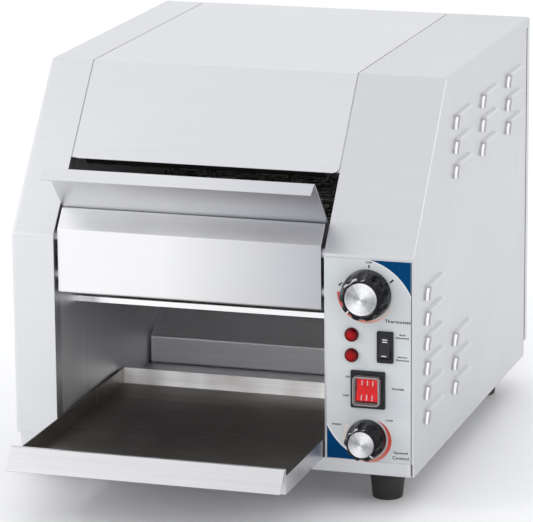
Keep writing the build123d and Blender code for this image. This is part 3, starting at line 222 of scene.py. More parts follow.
def connect(shader, color, rough, **more):
    for key, value in {"Base Color": color, "Roughness": rough, **more}.items():
        shader.id_data.links.new(value, shader.inputs[key])


def span(node):
    low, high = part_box(node)
    return low, high, (low + high) / 2


def grainTone(grain, dark, light):
    return mixColor(remap(grain["Tone"], 0.3, 0.7), dark, light)


def roughMetal(grain, rough, mask, share):
    # roughness from the fine scratches, and more of it where a mask lies
    return maths("ADD", remap(grain["Height"], 0.25, 0.75, *rough), times(mask, share))


# sheet steel: each sheet has these values where it names none of its own; edge is a radius in millimetres
sheetBase = Look(
    rough=(0.3, 0.4), fineness=1.6, grain=0.035, grainDepth=0.1, edge=0.8, worn=0.6,
    stain=0.0, stainScale=12.0, tint=(0.6, 0.45, 0.3), smudge=0.05, smudgeScale=9.0, smudgeRough=0.08,
)
sheetLooks = Look(
    shellSteel=Look(light=(0.69, 0.695, 0.71), dark=(0.665, 0.67, 0.69)),
    # under is the near black painted shade on the cover's downward faces
    coverSteel=Look(light=(0.695, 0.70, 0.715), dark=(0.67, 0.675, 0.695), under=(0.03, 0.028, 0.027)),
    # the right housing's steel is the shell steel painted darker: painted shade on the side turned from the
    # light
    rightSteel=Look(light=(0.64, 0.645, 0.662), dark=(0.615, 0.62, 0.64)),
    frontSteel=Look(
        light=(0.84, 0.84, 0.845), dark=(0.82, 0.82, 0.83), rough=(0.3, 0.36),
        fineness=1.9, grain=0.02, edge=0.6,
    ),
    rampSteel=Look(
        light=(0.7, 0.705, 0.72), dark=(0.67, 0.675, 0.69), rough=(0.32, 0.42),
        fineness=1.3, grain=0.04,
    ),
    shieldSteel=Look(
        light=(0.9, 0.9, 0.905), dark=(0.86, 0.86, 0.865), rough=(0.14, 0.22),
        fineness=1.3, grain=0.05, edge=0.4,
    ),
    wallSteel=Look(
        light=(0.95, 0.95, 0.97), dark=(0.86, 0.86, 0.88), rough=(0.42, 0.55),
        fineness=0.9, grain=0.05, edge=0.4, stain=0.06, tint=(0.5, 0.42, 0.35), smudge=0.1,
    ),
    innerSteel=Look(
        light=(0.72, 0.72, 0.75), dark=(0.62, 0.62, 0.65), rough=(0.34, 0.48),
        fineness=0.7, grain=0.06, edge=0.5, stain=0.12, tint=(0.3, 0.24, 0.19), smudge=0.1,
    ),
    hotSteel=Look(
        light=(0.13, 0.12, 0.11), dark=(0.07, 0.063, 0.057), rough=(0.4, 0.6),
        fineness=0.7, grain=0.06, edge=0.5, stain=0.55, tint=(0.22, 0.15, 0.1), smudge=0.12,
    ),
)

# painted shade: the ramp and front panel are painted darker from their middle to the dials' side, less on
# faces that look up
paintedShadeLook = Look(
    tints=Look(frontSteel=(0.53, 0.535, 0.565), rampSteel=(0.62, 0.625, 0.66)),
    start=0.4, end=1.02, depth=0.95, lowest=Look(frontSteel=0.3, rampSteel=0.55),
)

# louvres: rise is how far a panel lies behind their crowns, in millimetres; crowns are painted lighter, noses
# near white as a painted highlight, and the outlines round the noses are painted shade
scoopLook = Look(
    on=("shellSteel", "rightSteel"), rise=4.5, paintedCrownLight=(0.78, 0.785, 0.8), nose=(1.0, 1.0, 1.0),
    rim=(0.55, 0.55, 0.56), scatter=0.85, level=0.92,
)


def sidePaintedShade(spot, facing, name):
    low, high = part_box("feed_ramp")
    start, end = (low.x + (high.x - low.x) * paintedShadeLook[key] for key in ("start", "end"))
    across = remap(spot["X"], start, end, 0.0, paintedShadeLook.depth)
    return times(across, remap(facing["Z"], 0.6, 0.4, paintedShadeLook.lowest[name], 1.0))


def sideScoops(spot, facing):
    # masks of the louvres: all of them, their noses that face the front, which carry a painted highlight, and
    # the painted shade outline round the noses
    proud = over(maths("ABSOLUTE", spot["X"]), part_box("right_housing")[1].x - scoopLook.rise * mm)
    outward = maths("ABSOLUTE", facing["X"])
    end = times(proud, remap(facing["Y"], -0.12, -0.2))
    brow = maths("ADD", facing["Z"], times(facing["Y"], 1.4))
    noseHighlightMask = times(remap(outward, 0.24, 0.32), remap(outward, 0.76, 0.68))
    sides = times(inverse(noseHighlightMask), remap(brow, 0.2, 0.1))
    noseShadeOutline = maths("MAXIMUM", sides, times(remap(brow, -0.04, 0.06), remap(brow, 0.35, 0.15)))
    return proud, times(end, noseHighlightMask, remap(brow, 0.08, -0.08)), times(end, noseShadeOutline, remap(outward, 0.96, 0.9))


def startSheet(name, look):
    shader, place = startFinish(name, {"Metallic": 1.0})
    grain = effect("brushedGrain", place, Facing=place["Normal"], Fineness=look.fineness)
    smudge = effect("softSmudge", place, Scale=look.smudgeScale)["Mask"]
    stain, edge = effect("heatStain", place, Scale=look.stainScale), softEdge(place, look.edge)
    return shader, place, split(place["Object"]), split(place["Normal"]), grain, smudge, stain, edge


def sheetMetal(name, look):
    look, more = Look(sheetBase, **look), {}
    shader, place, spot, facing, grain, smudge, stain, edge = startSheet(name, look)
    color = grainTone(grain, look.dark, look.light)
    color = mixColor(times(stain["Cloud"], look.stain), color, look.tint)
    color = mixColor(times(smudge, look.smudge), color, look.dark)
    color = mixColor(times(edge["Wear"], look.worn), color, look.light)
    if "under" in look:
        # painted shade: the cover's downward faces, the hem over the feed slot, are painted near black
        color = mixColor(remap(facing["Z"], -0.3, -0.6), color, look.under)
    # painted shade towards the dials' side
    if name in paintedShadeLook.tints:
        color = mixColor(sidePaintedShade(spot, facing, name), color, paintedShadeLook.tints[name], "MULTIPLY")
    bend = edge["Normal"]
    if name in scoopLook.on:
        proud, nose, rim = sideScoops(spot, facing)
        shoulder = times(proud, inverse(nose))
        level = addNode("CombineXYZ", {0: maths("SIGN", spot["X"])}).outputs[0]
        turning = {"vector_type": "NORMAL", "convert_from": "OBJECT", "convert_to": "WORLD"}
        level = addNode("VectorTransform", {0: level}, **turning).outputs[0]
        bend = mixVector(times(shoulder, scoopLook.level), bend, level)
        crownLightMask = times(shoulder, remap(maths("ABSOLUTE", facing["X"]), 0.98, 0.8))
        # painted light on the louvres: lighter crowns, near white noses made matt as a painted highlight, and
        # dark outlines as painted shade
        for mask, part in ((crownLightMask, "paintedCrownLight"), (nose, "nose"), (rim, "rim")):
            color = mixColor(mask, color, scoopLook[part])
        more["Metallic"] = inverse(times(nose, scoopLook.scatter))
    rough = roughMetal(grain, look.rough, smudge, look.smudgeRough)
    connect(shader, color, rough, Normal=bump(grain["Height"], look.grain, look.grainDepth, bend), **more)


# lengths in millimetres: the lip's depth, the back wall's fold, and how far the floor's painted reflection
# lies from it
trayLook = Look(
    light=(0.655, 0.655, 0.665), dark=(0.61, 0.61, 0.62), baked=(0.3, 0.275, 0.255),
    bakedLight=(0.46, 0.435, 0.41), speck=(0.05, 0.035, 0.025), rough=(0.3, 0.42), skin=1.5,
    fineness=0.8, smudgeScale=14.0, edge=0.5, stainScale=16.0, bakedCloud=0.6, bakedSpeck=0.5, worn=0.8,
    lipHeight=21.3, wallReach=6.0, wallLight=(0.98, 0.97, 0.96), wallDark=(0.6, 0.585, 0.57),
    wallScatter=0.15, wallLean=(0.0, -0.955, 0.3), bandScale=14.0, bandStretch=(1, 0.05, 0.3),
    cleared=(0.8, 0.79, 0.78), clearedAcross=(0.3, 0.65), clearedDeep=(42.0, 6.0), clearedShare=0.75,
    grain=0.06, grainDepth=0.1, smudgeRough=0.1, wallBaked=0.25,
)


def trayMetal():
    # the pan's inside is browned by heat, and the lip and the outside stay bright; its back wall and the back
    # of its floor carry painted reflection
    look, inset = trayLook, trayLook.skin * mm
    shader, place, spot, facing, grain, smudge, stain, edge = startSheet("trayMetal", look)
    low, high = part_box("toast_tray")
    outside = times(under(spot["X"], low.x + inset), under(facing["X"], -0.3))
    for mask in (
        times(over(spot["X"], high.x - inset), over(facing["X"], 0.3)),
        under(spot["Y"], low.y + look.lipHeight * mm),
        under(facing["Z"], -0.5),
        times(over(spot["Y"], high.y - inset), over(facing["Y"], 0.3)),
    ):
        outside = maths("MAXIMUM", outside, mask)
    baked = mixColor(remap(grain["Tone"], 0.25, 0.75), look.baked, look.bakedLight)
    baked = mixColor(times(stain["Cloud"], look.bakedCloud), baked, look.baked)
    baked = mixColor(times(stain["Speck"], look.bakedSpeck), baked, look.speck)
    # painted reflection: the back of the floor on the dials' side is painted lighter
    start, end = (low.x + share * (high.x - low.x) for share in look.clearedAcross)
    deep = remap(spot["Y"], *(high.y - reach * mm for reach in look.clearedDeep), 0.0, look.clearedShare)
    cleared = times(times(remap(spot["X"], start, end), deep), remap(facing["Z"], 0.6, 0.9))
    baked = mixColor(cleared, baked, look.cleared)
    # painted reflection: the back wall is painted bright, in bright bands between darker patches, with a
    # little of the baked colour
    wall = times(over(spot["Y"], high.y - look.wallReach * mm), under(facing["Y"], -0.6))
    reflectionBands = vectors("MULTIPLY", place["Object"], look.bandStretch)[0]
    wallPaintedReflection = mixColor(remap(noise(reflectionBands, look.bandScale, 2.0), 0.36, 0.52), look.wallDark, look.wallLight)
    wallPaintedReflection = mixColor(remap(grain["Tone"], 0.3, 0.7, 0.0, look.wallBaked), wallPaintedReflection, look.baked)
    color = mixColor(outside, mixColor(wall, baked, wallPaintedReflection), grainTone(grain, look.dark, look.light))
    color = mixColor(times(edge["Wear"], look.worn), color, look.light)
    normal = mixVector(wall, edge["Normal"], look.wallLean)
    normal = bump(grain["Height"], look.grain, look.grainDepth, normal)
    rough = roughMetal(grain, look.rough, smudge, look.smudgeRough)
    connect(shader, color, rough, Metallic=inverse(times(wall, look.wallScatter)), Normal=normal)


# turned metal: what all share, with the edge's radius in millimetres, and rows of the values that differ
turnedBase = Look(edge=0.25, worn=0.5, cloudScale=40.0, cloudRough=0.12, bump=0.08, depth=0.05)
turnedValues = ("light", "dark", "rough", "grime", "metal")
turnedLooks = Look(
    shaftSteel=((0.72, 0.72, 0.73), (0.5, 0.5, 0.52), (0.2, 0.35), 0.25, 1.0),
    screwSteel=((0.8, 0.8, 0.82), (0.6, 0.6, 0.63), (0.16, 0.3), 0.15, 1.0),
    bushBrass=((0.83, 0.62, 0.3), (0.6, 0.42, 0.18), (0.22, 0.38), 0.35, 1.0),
    bulbCopper=((0.8, 0.47, 0.3), (0.5, 0.27, 0.17), (0.25, 0.4), 0.3, 1.0),
    beltWire=((0.42, 0.4, 0.37), (0.16, 0.145, 0.13), (0.32, 0.5), 0.5, 1.0),
    elementSheath=((0.2, 0.185, 0.17), (0.09, 0.08, 0.075), (0.5, 0.7), 0.4, 0.6),
)


def turnedMetal(name, look):
    shader, place = startFinish(name, {"Metallic": look.metal})
    rings, edge = effect("turnedRings", place), softEdge(place, look.edge)
    cloud = effect("heatStain", place, Scale=look.cloudScale)["Cloud"]
    color = mixColor(times(cloud, look.grime), grainTone(rings, look.dark, look.light), look.dark)
    color = mixColor(times(edge["Wear"], look.worn), color, look.light)
    normal = bump(rings["Height"], look.bump, look.depth, edge["Normal"])
    connect(shader, color, roughMetal(rings, look.rough, cloud, look.cloudRough), Normal=normal)


# light and dark are the painted highlight and painted shade of the spun caps' wedges
spunLook = Look(
    light=(0.97, 0.975, 0.98), dark=(0.2, 0.205, 0.215), rough=(0.22, 0.34), brightTurn=24.0,
    wedge=(-1.1, 0.9), streaks=4.0, streakShare=0.3, ringShare=0.06, fineness=3600.0, stretch=0.7,
    edge=0.3, bump=0.12, depth=0.05,
)


def clockTurn(arm):
    part = split(arm)
    return maths("ARCTAN2", part["X"], part["Z"])


def spunCap(name, node):
    # a spun face: its tool marks run round the middle; its sheen in wedges is a painted highlight, bright
    # wedges and radial streaks with painted shade between them
    look = spunLook
    shader, place = startFinish(name, {"Metallic": 1.0, "Anisotropic": look.stretch})
    middle = span(node)[2]
    rings = effect("turnedRings", place, Centre=middle, Axis=(0, 1, 0), Fineness=look.fineness)
    edge = softEdge(place, look.edge)
    arm = vectors("SUBTRACT", place["Object"], middle)[0]
    # painted highlight: two bright wedges turned to a fixed angle, with radial streaks
    doubled = times(maths("SUBTRACT", clockTurn(arm), radians(look.brightTurn)), 2.0)
    wedge = remap(maths("COSINE", doubled), *look.wedge)
    ray = vectors("NORMALIZE", vectors("MULTIPLY", arm, (1, 0, 1))[0])[0]
    sheenStreak, share = remap(noise(ray, look.streaks, 4.0, 0.7), 0.3, 0.7), look.streakShare
    tone = maths("ADD", times(wedge, 1 - share), times(sheenStreak, share))
    ring = times(remap(rings["Tone"], 0.3, 0.7, -1.0, 1.0), look.ringShare)
    color = mixColor(maths("ADD", tone, ring, True), look.dark, look.light)
    rough = remap(rings["Height"], 0.25, 0.75, *look.rough)
    tangent = addNode("Tangent", tree=shader.id_data, direction_type="RADIAL", axis="Y").outputs[0]
    normal = bump(rings["Height"], look.bump, look.depth, edge["Normal"])
    connect(shader, color, rough, Normal=normal, Tangent=tangent)


# plastics, rubber, paint and ceramic: what all share, and rows of the values that differ
plasticBase = Look(coatRough=0.08, edge=0.4, dust=0.35, worn=0.25, depth=0.06)
plasticValues = ("color", "dusty", "rough", "grain", "bump", "coat", "specular")
plasticLooks = Look(
    footRubber=((0.018, 0.018, 0.019), (0.07, 0.068, 0.065), (0.55, 0.75), 1400.0, 0.25, 0.0, 0.5),
    knobBlack=((0.004, 0.004, 0.005), (0.007, 0.007, 0.007), (0.15, 0.22), 900.0, 0.0, 0.0, 0.12),
    switchBlack=((0.016, 0.016, 0.018), (0.055, 0.055, 0.055), (0.35, 0.5), 3000.0, 0.12, 0.0, 0.25),
    rockerBlack=((0.018, 0.019, 0.022), (0.05, 0.05, 0.052), (0.22, 0.36), 2600.0, 0.08, 0.0, 0.3),
    controlBody=((0.13, 0.12, 0.11), (0.22, 0.21, 0.19), (0.45, 0.6), 1800.0, 0.15, 0.0, 0.5),
    boardGreen=((0.03, 0.17, 0.07), (0.1, 0.2, 0.12), (0.3, 0.45), 700.0, 0.2, 0.2, 0.5),
    fanPlastic=((0.02, 0.02, 0.023), (0.09, 0.085, 0.08), (0.4, 0.55), 2400.0, 0.1, 0.0, 0.5),
    motorPaint=((0.17, 0.175, 0.19), (0.24, 0.235, 0.23), (0.3, 0.45), 1200.0, 0.2, 0.15, 0.5),
    insulatorCeramic=((0.84, 0.81, 0.74), (0.62, 0.56, 0.48), (0.55, 0.7), 1600.0, 0.3, 0.0, 0.5),
)


def startSkin(name, fixed, grain, rough):
    shader, place = startFinish(name, fixed)
    skin = effect("mouldedSkin", place, Grain=grain)
    return shader, place, skin, remap(skin["Height"], 0.3, 0.7, *rough)


def mouldedPlastic(name, look):
    fixed = {"Coat Weight": look.coat, "Coat Roughness": look.coatRough, "Specular IOR Level": look.specular}
    shader, place, skin, rough = startSkin(name, fixed, look.grain, look.rough)
    edge = softEdge(place, look.edge)
    color = mixColor(times(skin["Dust"], look.dust), look.color, look.dusty)
    color = mixColor(times(edge["Wear"], look.worn), color, look.dusty)
    connect(shader, color, rough, Normal=bump(skin["Height"], look.bump, look.depth, edge["Normal"]))


# red lenses: the rim's shares of the radius say where the dome is painted darker towards its edge, a painted
# shade
lensBase = Look(through=0.15, bend=1.49, coatRough=0.04, grain=900.0, blend=0.35, edge=0.3, facetShare=0.5)
lensLooks = Look(
    lamp=Look(
        nodes=("upper_pilot_lamp", "lower_pilot_lamp"), deep=(0.06, 0.0, 0.001), bright=(0.46, 0.003, 0.008),
        glow=0.16, facets=420.0, facetDepth=0.05, specular=0.1, rough=(0.06, 0.12), rim=(0.3, 0.95),
    ),
    rocker=Look(
        nodes=("power_rocker",), deep=(0.46, 0.0, 0.002), bright=(0.72, 0.003, 0.008),
        glow=0.38, facets=220.0, facetDepth=0.03, specular=0.05, rough=(0.2, 0.3), rim=None,
    ),
)


def translucentRed(node, look):
    # moulded lens: ribs inside it catch the light; it is painted darker where it turns from the view and, on
    # the lamps, towards the rim, as painted shade
    look = Look(lensBase, **look)
    fixed = {
        "Transmission Weight": look.through, "IOR": look.bend, "Coat Roughness": look.coatRough,
        "Specular IOR Level": look.specular, "Emission Strength": look.glow,
    }
    shader, place, skin, rough = startSkin(node + "_red", fixed, look.grain, look.rough)
    cells = addNode("TexVoronoi", {"Vector": place["Object"], "Scale": look.facets}).outputs["Distance"]
    facing = addNode("LayerWeight", {"Blend": look.blend}, shader.id_data).outputs["Facing"]
    color = mixColor(remap(cells, 0.1, 0.9, 0.0, look.facetShare), look.bright, look.deep)
    # painted shade where the surface turns from the view
    color = mixColor(remap(facing, 0.2, 0.8), color, look.deep)
    # painted shade towards the rim of the pilot lamps
    if look.rim:
        low, high, middle = span(node)
        radius = effect("turnedRings", place, Centre=middle, Axis=(0, 1, 0))["Radius"]
        start, end = (share * (high.x - low.x) / 2 for share in look.rim)
        color = mixColor(remap(radius, start, end), color, look.deep)
    normal = bump(cells, look.facetDepth, 0.2, softEdge(place, look.edge)["Normal"])
    connect(shader, color, rough, Normal=normal, **{"Emission Color": color})


# the switch's soft clear boot, and the thicker beads on it, which scatter the light and look pale
bootBase = Look(grain=500.0, bump=0.04, depth=0.1)
bootLooks = Look(
    clearBoot=Look(
        through=1.0, bend=1.25, color=(0.97, 0.975, 0.98), dusty=(0.85, 0.85, 0.84), dust=0.15,
        rough=(0.04, 0.12), edge=0.6,
    ),
    bootBead=Look(
        through=0.55, bend=1.42, color=(0.62, 0.58, 0.58), dusty=(0.5, 0.47, 0.46), dust=0.3,
        rough=(0.16, 0.28), edge=None,
    ),
)


def clearPlastic(name, look):
    look = Look(bootBase, **look)
    fixed = {"Transmission Weight": look.through, "IOR": look.bend}
    shader, place, skin, rough = startSkin(name, fixed, look.grain, look.rough)
    color = mixColor(times(skin["Dust"], look.dust), look.color, look.dusty)
    edge = softEdge(place, look.edge)["Normal"] if look.edge else None
    connect(shader, color, rough, Normal=bump(skin["Height"], look.bump, look.depth, edge))


# screen print on a matt film: the two colours of each ink, its coat and its gloss
inkLooks = Look(
    plateFace=((0.58, 0.61, 0.63), (0.65, 0.68, 0.69), 0.1, 0.4),
    plateBlue=((0.0, 0.04, 0.135), (0.0, 0.052, 0.165), 0.0, 0.03),
    plateInk=((0.004, 0.005, 0.006), (0.015, 0.016, 0.018), 0.0, 0.1),
    plateWhite=((0.85, 0.86, 0.87), (0.78, 0.79, 0.8), 0.1, 0.4),
)
filmLook = Look(
    coatRough=0.2, grain=2200.0, rough=(0.34, 0.5), bump=0.05, depth=0.05, edge=0.3, smudgeScale=14.0,
    arcCoat=0.15, arcDust=0.2,
)


def startFilm(name, coat, **more):
    fixed = {"Coat Weight": coat, "Coat Roughness": filmLook.coatRough, **more}
    return startSkin(name, fixed, filmLook.grain, filmLook.rough)


def printedFilm(name, color, shade, coat, gloss):
    # the ink lies a little uneven
    shader, place, skin, rough = startFilm(name, coat, **{"Specular IOR Level": gloss})
    tone = mixColor(effect("softSmudge", place, Scale=filmLook.smudgeScale)["Mask"], color, shade)
    normal = bump(skin["Height"], filmLook.bump, filmLook.depth, softEdge(place, filmLook.edge)["Normal"])
    connect(shader, tone, rough, Normal=normal)


def dialArc(name, centre, stops):
    # scale printed round a dial, whose ink fades from red to pale along the arc
    shader, place, skin, rough = startFilm(name, filmLook.arcCoat)
    turn = clockTurn(vectors("SUBTRACT", place["Object"], centre)[0])
    share = maths("FRACT", maths("ADD", maths("DIVIDE", turn, 2 * pi), 1.0))
    ramp = addNode("ValToRGB", {0: share})
    while len(ramp.color_ramp.elements) < len(stops):
        ramp.color_ramp.elements.new(0.5)
    for element, (turn, color) in zip(ramp.color_ramp.elements, stops):
        element.position, element.color = turn / 360, (*color, 1)
    color = mixColor(times(skin["Dust"], filmLook.arcDust), ramp.outputs["Color"], inkLooks["plateFace"][1])
    connect(shader, color, rough, Normal=bump(skin["Height"], filmLook.bump, filmLook.depth))


for make, looks in ((sheetMetal, sheetLooks), (clearPlastic, bootLooks)):
    for name, look in looks.items():
        make(name, look)
for name, row in turnedLooks.items():
    turnedMetal(name, Look(turnedBase, **dict(zip(turnedValues, row))))
for name, row in plasticLooks.items():
    mouldedPlastic(name, Look(plasticBase, **dict(zip(plasticValues, row))))
for name, row in inkLooks.items():
    printedFilm(name, *row)
trayMetal()
spunCap("thermostatCap", "thermostat_cap")
spunCap("speedCap", "speed_cap")
for look in lensLooks.values():
    for node in look.nodes:
        translucentRed(node, look)
print("finishes:", len(finishes))

nodeFinishes = Look(
    shellSteel="base_pan left_housing rear_cover",
    rightSteel="right_housing",
    coverSteel="top_cover",
    rampSteel="feed_ramp",
    frontSteel="front_panel",
    shieldSteel="heat_shield",
    wallSteel="left_inner_wall right_inner_wall return_chute",
    innerSteel="panel_spacers belt_guides motor_bracket",
    hotSteel="upper_reflector",
    trayMetal="toast_tray",
    beltWire="conveyor_belt idler_wheels drive_wheels",
    shaftSteel="idler_shaft drive_shaft output_shaft driven_sprocket motor_sprocket drive_chain"
               " thermostat_shaft speed_shaft",
    screwSteel="foot_screws rear_cover_screws base_screws motor_screws",
    bushBrass="shaft_bushes",
    insulatorCeramic="heater_insulators",
    elementSheath="upper_heating_elements lower_heating_elements",
    footRubber="rubber_feet",
    plateFace="control_plate",
    knobBlack="thermostat_knob speed_knob",
    thermostatCap="thermostat_cap",
    speedCap="speed_cap",
    upper_pilot_lamp_red="upper_pilot_lamp",
    lower_pilot_lamp_red="lower_pilot_lamp",
    switchBlack="selector_switch power_switch cable_gland",
    rockerBlack="selector_rocker",
    power_rocker_red="power_rocker",
    clearBoot="power_switch_cover",
    controlBody="thermostat speed_control limit_cutout terminal_block",
    bulbCopper="thermostat_bulb",
    boardGreen="speed_board",
    fanPlastic="fan_frame fan_rotor",
    motorPaint="gear_motor",
)
finished = [(name, finish) for finish, names in nodeFinishes.items() for name in names.split()]
for name, finish in finished:
    for place in nodes[name].material_slots:
        place.material = finishes[finish]
print("nodes finished:", len({name for name, finish in finished}), "of", len(nodes))


def addObject(name, data):
    made = bpy.data.objects.new(name, data)
    bpy.context.scene.collection.objects.link(made)
    return made


def addPiece(name, mesh, finish, body="housing", standsFor=()):
    piece = addObject(name, mesh)
    piece.data.materials.clear()
    piece.data.materials.append(finishes[finish])
    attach(piece, body)
    if standsFor:
        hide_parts(*standsFor)


def meshFrom(name, build, sharp=35.0):
    # a mesh whose edges look sharp where they turn by more than an angle in degrees
    shape = bmesh.new()
    build(shape)
    bmesh.ops.recalc_face_normals(shape, faces=shape.faces)
    mesh = bpy.data.meshes.new(name + "_shape")
    shape.to_mesh(mesh)
    shape.free()
    mesh.polygons.foreach_set("use_smooth", [True] * len(mesh.polygons))
    mesh.set_sharp_from_angle(angle=radians(sharp))
    return mesh


def fullTurn(count):
    return [2 * pi * index / count for index in range(count)]


def rayAt(turn):
    # clockwise from twelve, seen from the front
    return Vector((sin(turn), 0, cos(turn)))


def addPoints(shape, points):
    return [shape.verts.new(point) for point in points]


def addBand(shape, row, nextRow):
    # faces between two closed rows of points, or from a row to a single point
    around = max(len(row), len(nextRow))
    for index in range(around):
        after = (index + 1) % around
        if len(row) == 1:
            shape.faces.new((row[0], nextRow[index], nextRow[after]))
        elif len(nextRow) == 1:
            shape.faces.new((row[index], row[after], nextRow[0]))
        else:
            shape.faces.new((row[index], row[after], nextRow[after], nextRow[index]))


def addBands(shape, rows):
    for row, nextRow in zip(rows, rows[1:]):
        addBand(shape, row, nextRow)


def addRings(shape, rings):
    # a closed skin over rings of points, capped at both ends with a fan
    rows = [addPoints(shape, ring) for ring in rings]
    addBands(shape, rows)
    for row, ring in ((rows[0], rings[0]), (rows[-1], rings[-1])):
        addBand(shape, row, [shape.verts.new(sum(ring, Vector()) / len(ring))])


# knobs: a round skirt, scallops round the grip, and a recess for the cap
# the profile gives millimetres forward, share of the radius and share of the scallops' depth
knobLook = Look(
    flutes=10, fluteRadius=4.5, fluteDepth=1.9, soften=0.35, around=240, sharp=50.0,
    profile=(
        (0.0, 0.975, 0.0), (0.5, 0.998, 0.0), (1.4, 1.0, 0.0), (4.2, 0.985, 0.0), (5.4, 0.982, 0.0),
        (7.4, 0.98, 0.15), (9.4, 0.972, 0.6), (11.0, 0.96, 1.0), (13.5, 0.945, 1.0), (15.2, 0.925, 1.0),
        (16.6, 0.9, 0.95), (17.8, 0.865, 0.85), (18.7, 0.825, 0.65), (19.4, 0.785, 0.4), (19.85, 0.745, 0.15),
        (20.0, 0.71, 0.0), (19.95, 0.69, 0.0), (19.4, 0.672, 0.0), (18.9, 0.668, 0.0), (18.8, 0.655, 0.0),
        (18.8, 0.3, 0.0),
    ),
)


def scallopedRadius(angle, radius, share):
    step, hollow, soft = 2 * pi / knobLook.flutes, knobLook.fluteRadius, knobLook.soften
    offset = (angle + step / 2) % step - step / 2
    reach = radius + hollow - knobLook.fluteDepth * share
    inside = hollow ** 2 - (reach * sin(offset)) ** 2
    if share <= 0 or inside <= 0:
        return radius
    cut = reach * cos(offset) - sqrt(inside)
    return min(radius, -soft * log(exp(-radius / soft) + exp(-cut / soft)))


def knobMesh(node):
    low, high, centre = span(node)
    radius = (high.x - low.x) / 2 / mm

    def spot(turn, height, factor, share):
        r = scallopedRadius(turn, radius * factor, share) * mm
        return Vector((centre.x + r * sin(turn), high.y - height * mm, centre.z + r * cos(turn)))
    rings = [[spot(turn, *row) for turn in fullTurn(knobLook.around)] for row in knobLook.profile]
    return meshFrom(node, lambda shape: addRings(shape, rings), knobLook.sharp)


# white pointer line, let into the knob beside its cap: shares of the radius and how far it drops there
pointerLook = Look(
    turn=Look(thermostat=225.0, speed=137.0), bends=((0.69, 0.0), (0.775, 0.15), (0.83, 0.7), (0.9, 2.6)),
    proud=0.06, overlap=0.15, width=1.1, lift=0.12,
)


barLook = Look(bevel=0.3, tip=0.55)


def barBetween(shape, start, end, width, lift, facing=Vector((0, -1, 0))):
    # slim bar with bevelled ends, raised along the facing direction
    along = (end - start).normalized()
    side = along.cross(facing).normalized() * width / 2
    nose, tip = along * width * barLook.bevel, side * barLook.tip
    outline = [start + nose - side, start - tip, start + tip, start + nose + side,
               end - nose + side, end + tip, end - tip, end - nose - side]
    below, above = addPoints(shape, outline), addPoints(shape, [point + facing * lift for point in outline])
    shape.faces.new(below)
    shape.faces.new(above)
    addBand(shape, below, above)


def pointerMesh(dial):
    look = pointerLook
    low, high, centre = span(dial + "_knob")
    ray, radius = rayAt(radians(look.turn[dial])), (high.x - low.x) / 2
    points = [
        Vector((centre.x, low.y - look.proud * mm + drop * mm, centre.z)) + ray * radius * factor
        for factor, drop in look.bends
    ]

    def build(shape):
        for start, end in zip(points, points[1:]):
            overlap = (end - start).normalized() * look.overlap * mm
            barBetween(shape, start - overlap, end + overlap, look.width * mm, look.lift * mm)
    return meshFrom(dial + "_pointer", build)


dials = ("thermostat", "speed")
for dial in dials:
    knob = dial + "_knob"
    addPiece(dial + "_grip", knobMesh(knob), "knobBlack", dial + "_dial", [knob])
for dial in dials:
    addPiece(dial + "_pointer", pointerMesh(dial), "plateWhite", dial + "_dial")
print("pieces: knobs")

# marks on the two rockers, in millimetres from the rocker's middle
rockerMarks = Look(
    selector=((-2.3, 6.9, 2.3, 6.9), (-2.3, 4.9, 2.3, 4.9), (-2.3, -6.9, 2.3, -6.9)),
    power=tuple((x, z - 2.3, x, z + 2.3) for z in (6.2, -6.2) for x in (-4.8, 0.0, 4.8)),
)
markLook = Look(width=0.8, height=0.3, sunk=0.15, slots=Look(selector="switch_black", power="rocker_red"))


def surfaceAt(node, x, z):
    # the foremost point of a node's own skin at a place seen from the front
    return nodes[node].ray_cast(Vector((x, -1.0, z)), Vector((0, 1, 0)))[1]


def rockerMarkMesh(name):
    node = name + "_rocker"
    centre = span(node)[2]
    sideways = Vector((1, 0, 0))

    def build(shape):
        for x0, z0, x1, z1 in rockerMarks[name]:
            ends = [surfaceAt(node, centre.x + x * mm, centre.z + z * mm) for x, z in ((x0, z0), (x1, z1))]
            facing = (ends[1] - ends[0]).normalized()
            if abs(facing.z) <= 0.3:
                above, below = (surfaceAt(node, centre.x, ends[0].z + step * mm) for step in (0.5, -0.5))
                facing = (above - below).normalized()
            facing = facing.cross(sideways)
            if facing.y > 0:
                facing = -facing
            sunk = facing * -markLook.sunk * mm
            width, height = markLook.width * mm, markLook.height * mm
            barBetween(shape, ends[0] + sunk, ends[1] + sunk, width, height, facing.normalized())
    return meshFrom(name + "_marks", build)


for name in rockerMarks:
    addPiece(name + "_marks", rockerMarkMesh(name), "plateWhite", name)
print("pieces: rocker marks")

# print on the control plate: name, text, place from the plate's lower left corner, width and height
plateLow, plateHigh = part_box("control_plate")
plateWidth, plateTall = (plateHigh.x - plateLow.x) / mm, (plateHigh.z - plateLow.z) / mm
inkThickness = 0.05
letterLook = Look(small=0.036, large=0.024, largeFrom=2, gap=1.1)
plateWords = (
    ("off_at_top", "OFF", 38.4, 177.4, 5.8, 1.9),
    ("thermostat_word", "Thermostat", 64.0, 126.5, 23.0, 2.9),
    ("both_word", "Both", 68.2, 115.0, 5.4, 1.5),
    ("elements_upper_word", "Elements", 68.2, 112.3, 11.6, 1.5),
    ("bottom_word", "Bottom", 68.2, 95.2, 8.4, 1.5),
    ("elements_lower_word", "Elements", 68.2, 92.5, 11.6, 1.5),
    ("on_word", "ON", 19.2, 74.5, 4.2, 1.8),
    ("off_word", "OFF", 17.6, 57.4, 5.6, 1.8),
    ("power_word", "POWER", 64.4, 66.3, 11.0, 1.8),
    ("high_word", "HIGH", 8.9, 30.9, 8.0, 1.8),
    ("low_word", "LOW", 56.6, 37.7, 6.8, 1.8),
    ("speed_word", "Speed", 66.6, 9.1, 12.6, 2.9),
    ("control_word", "Control", 66.6, 4.6, 14.6, 2.9),
)


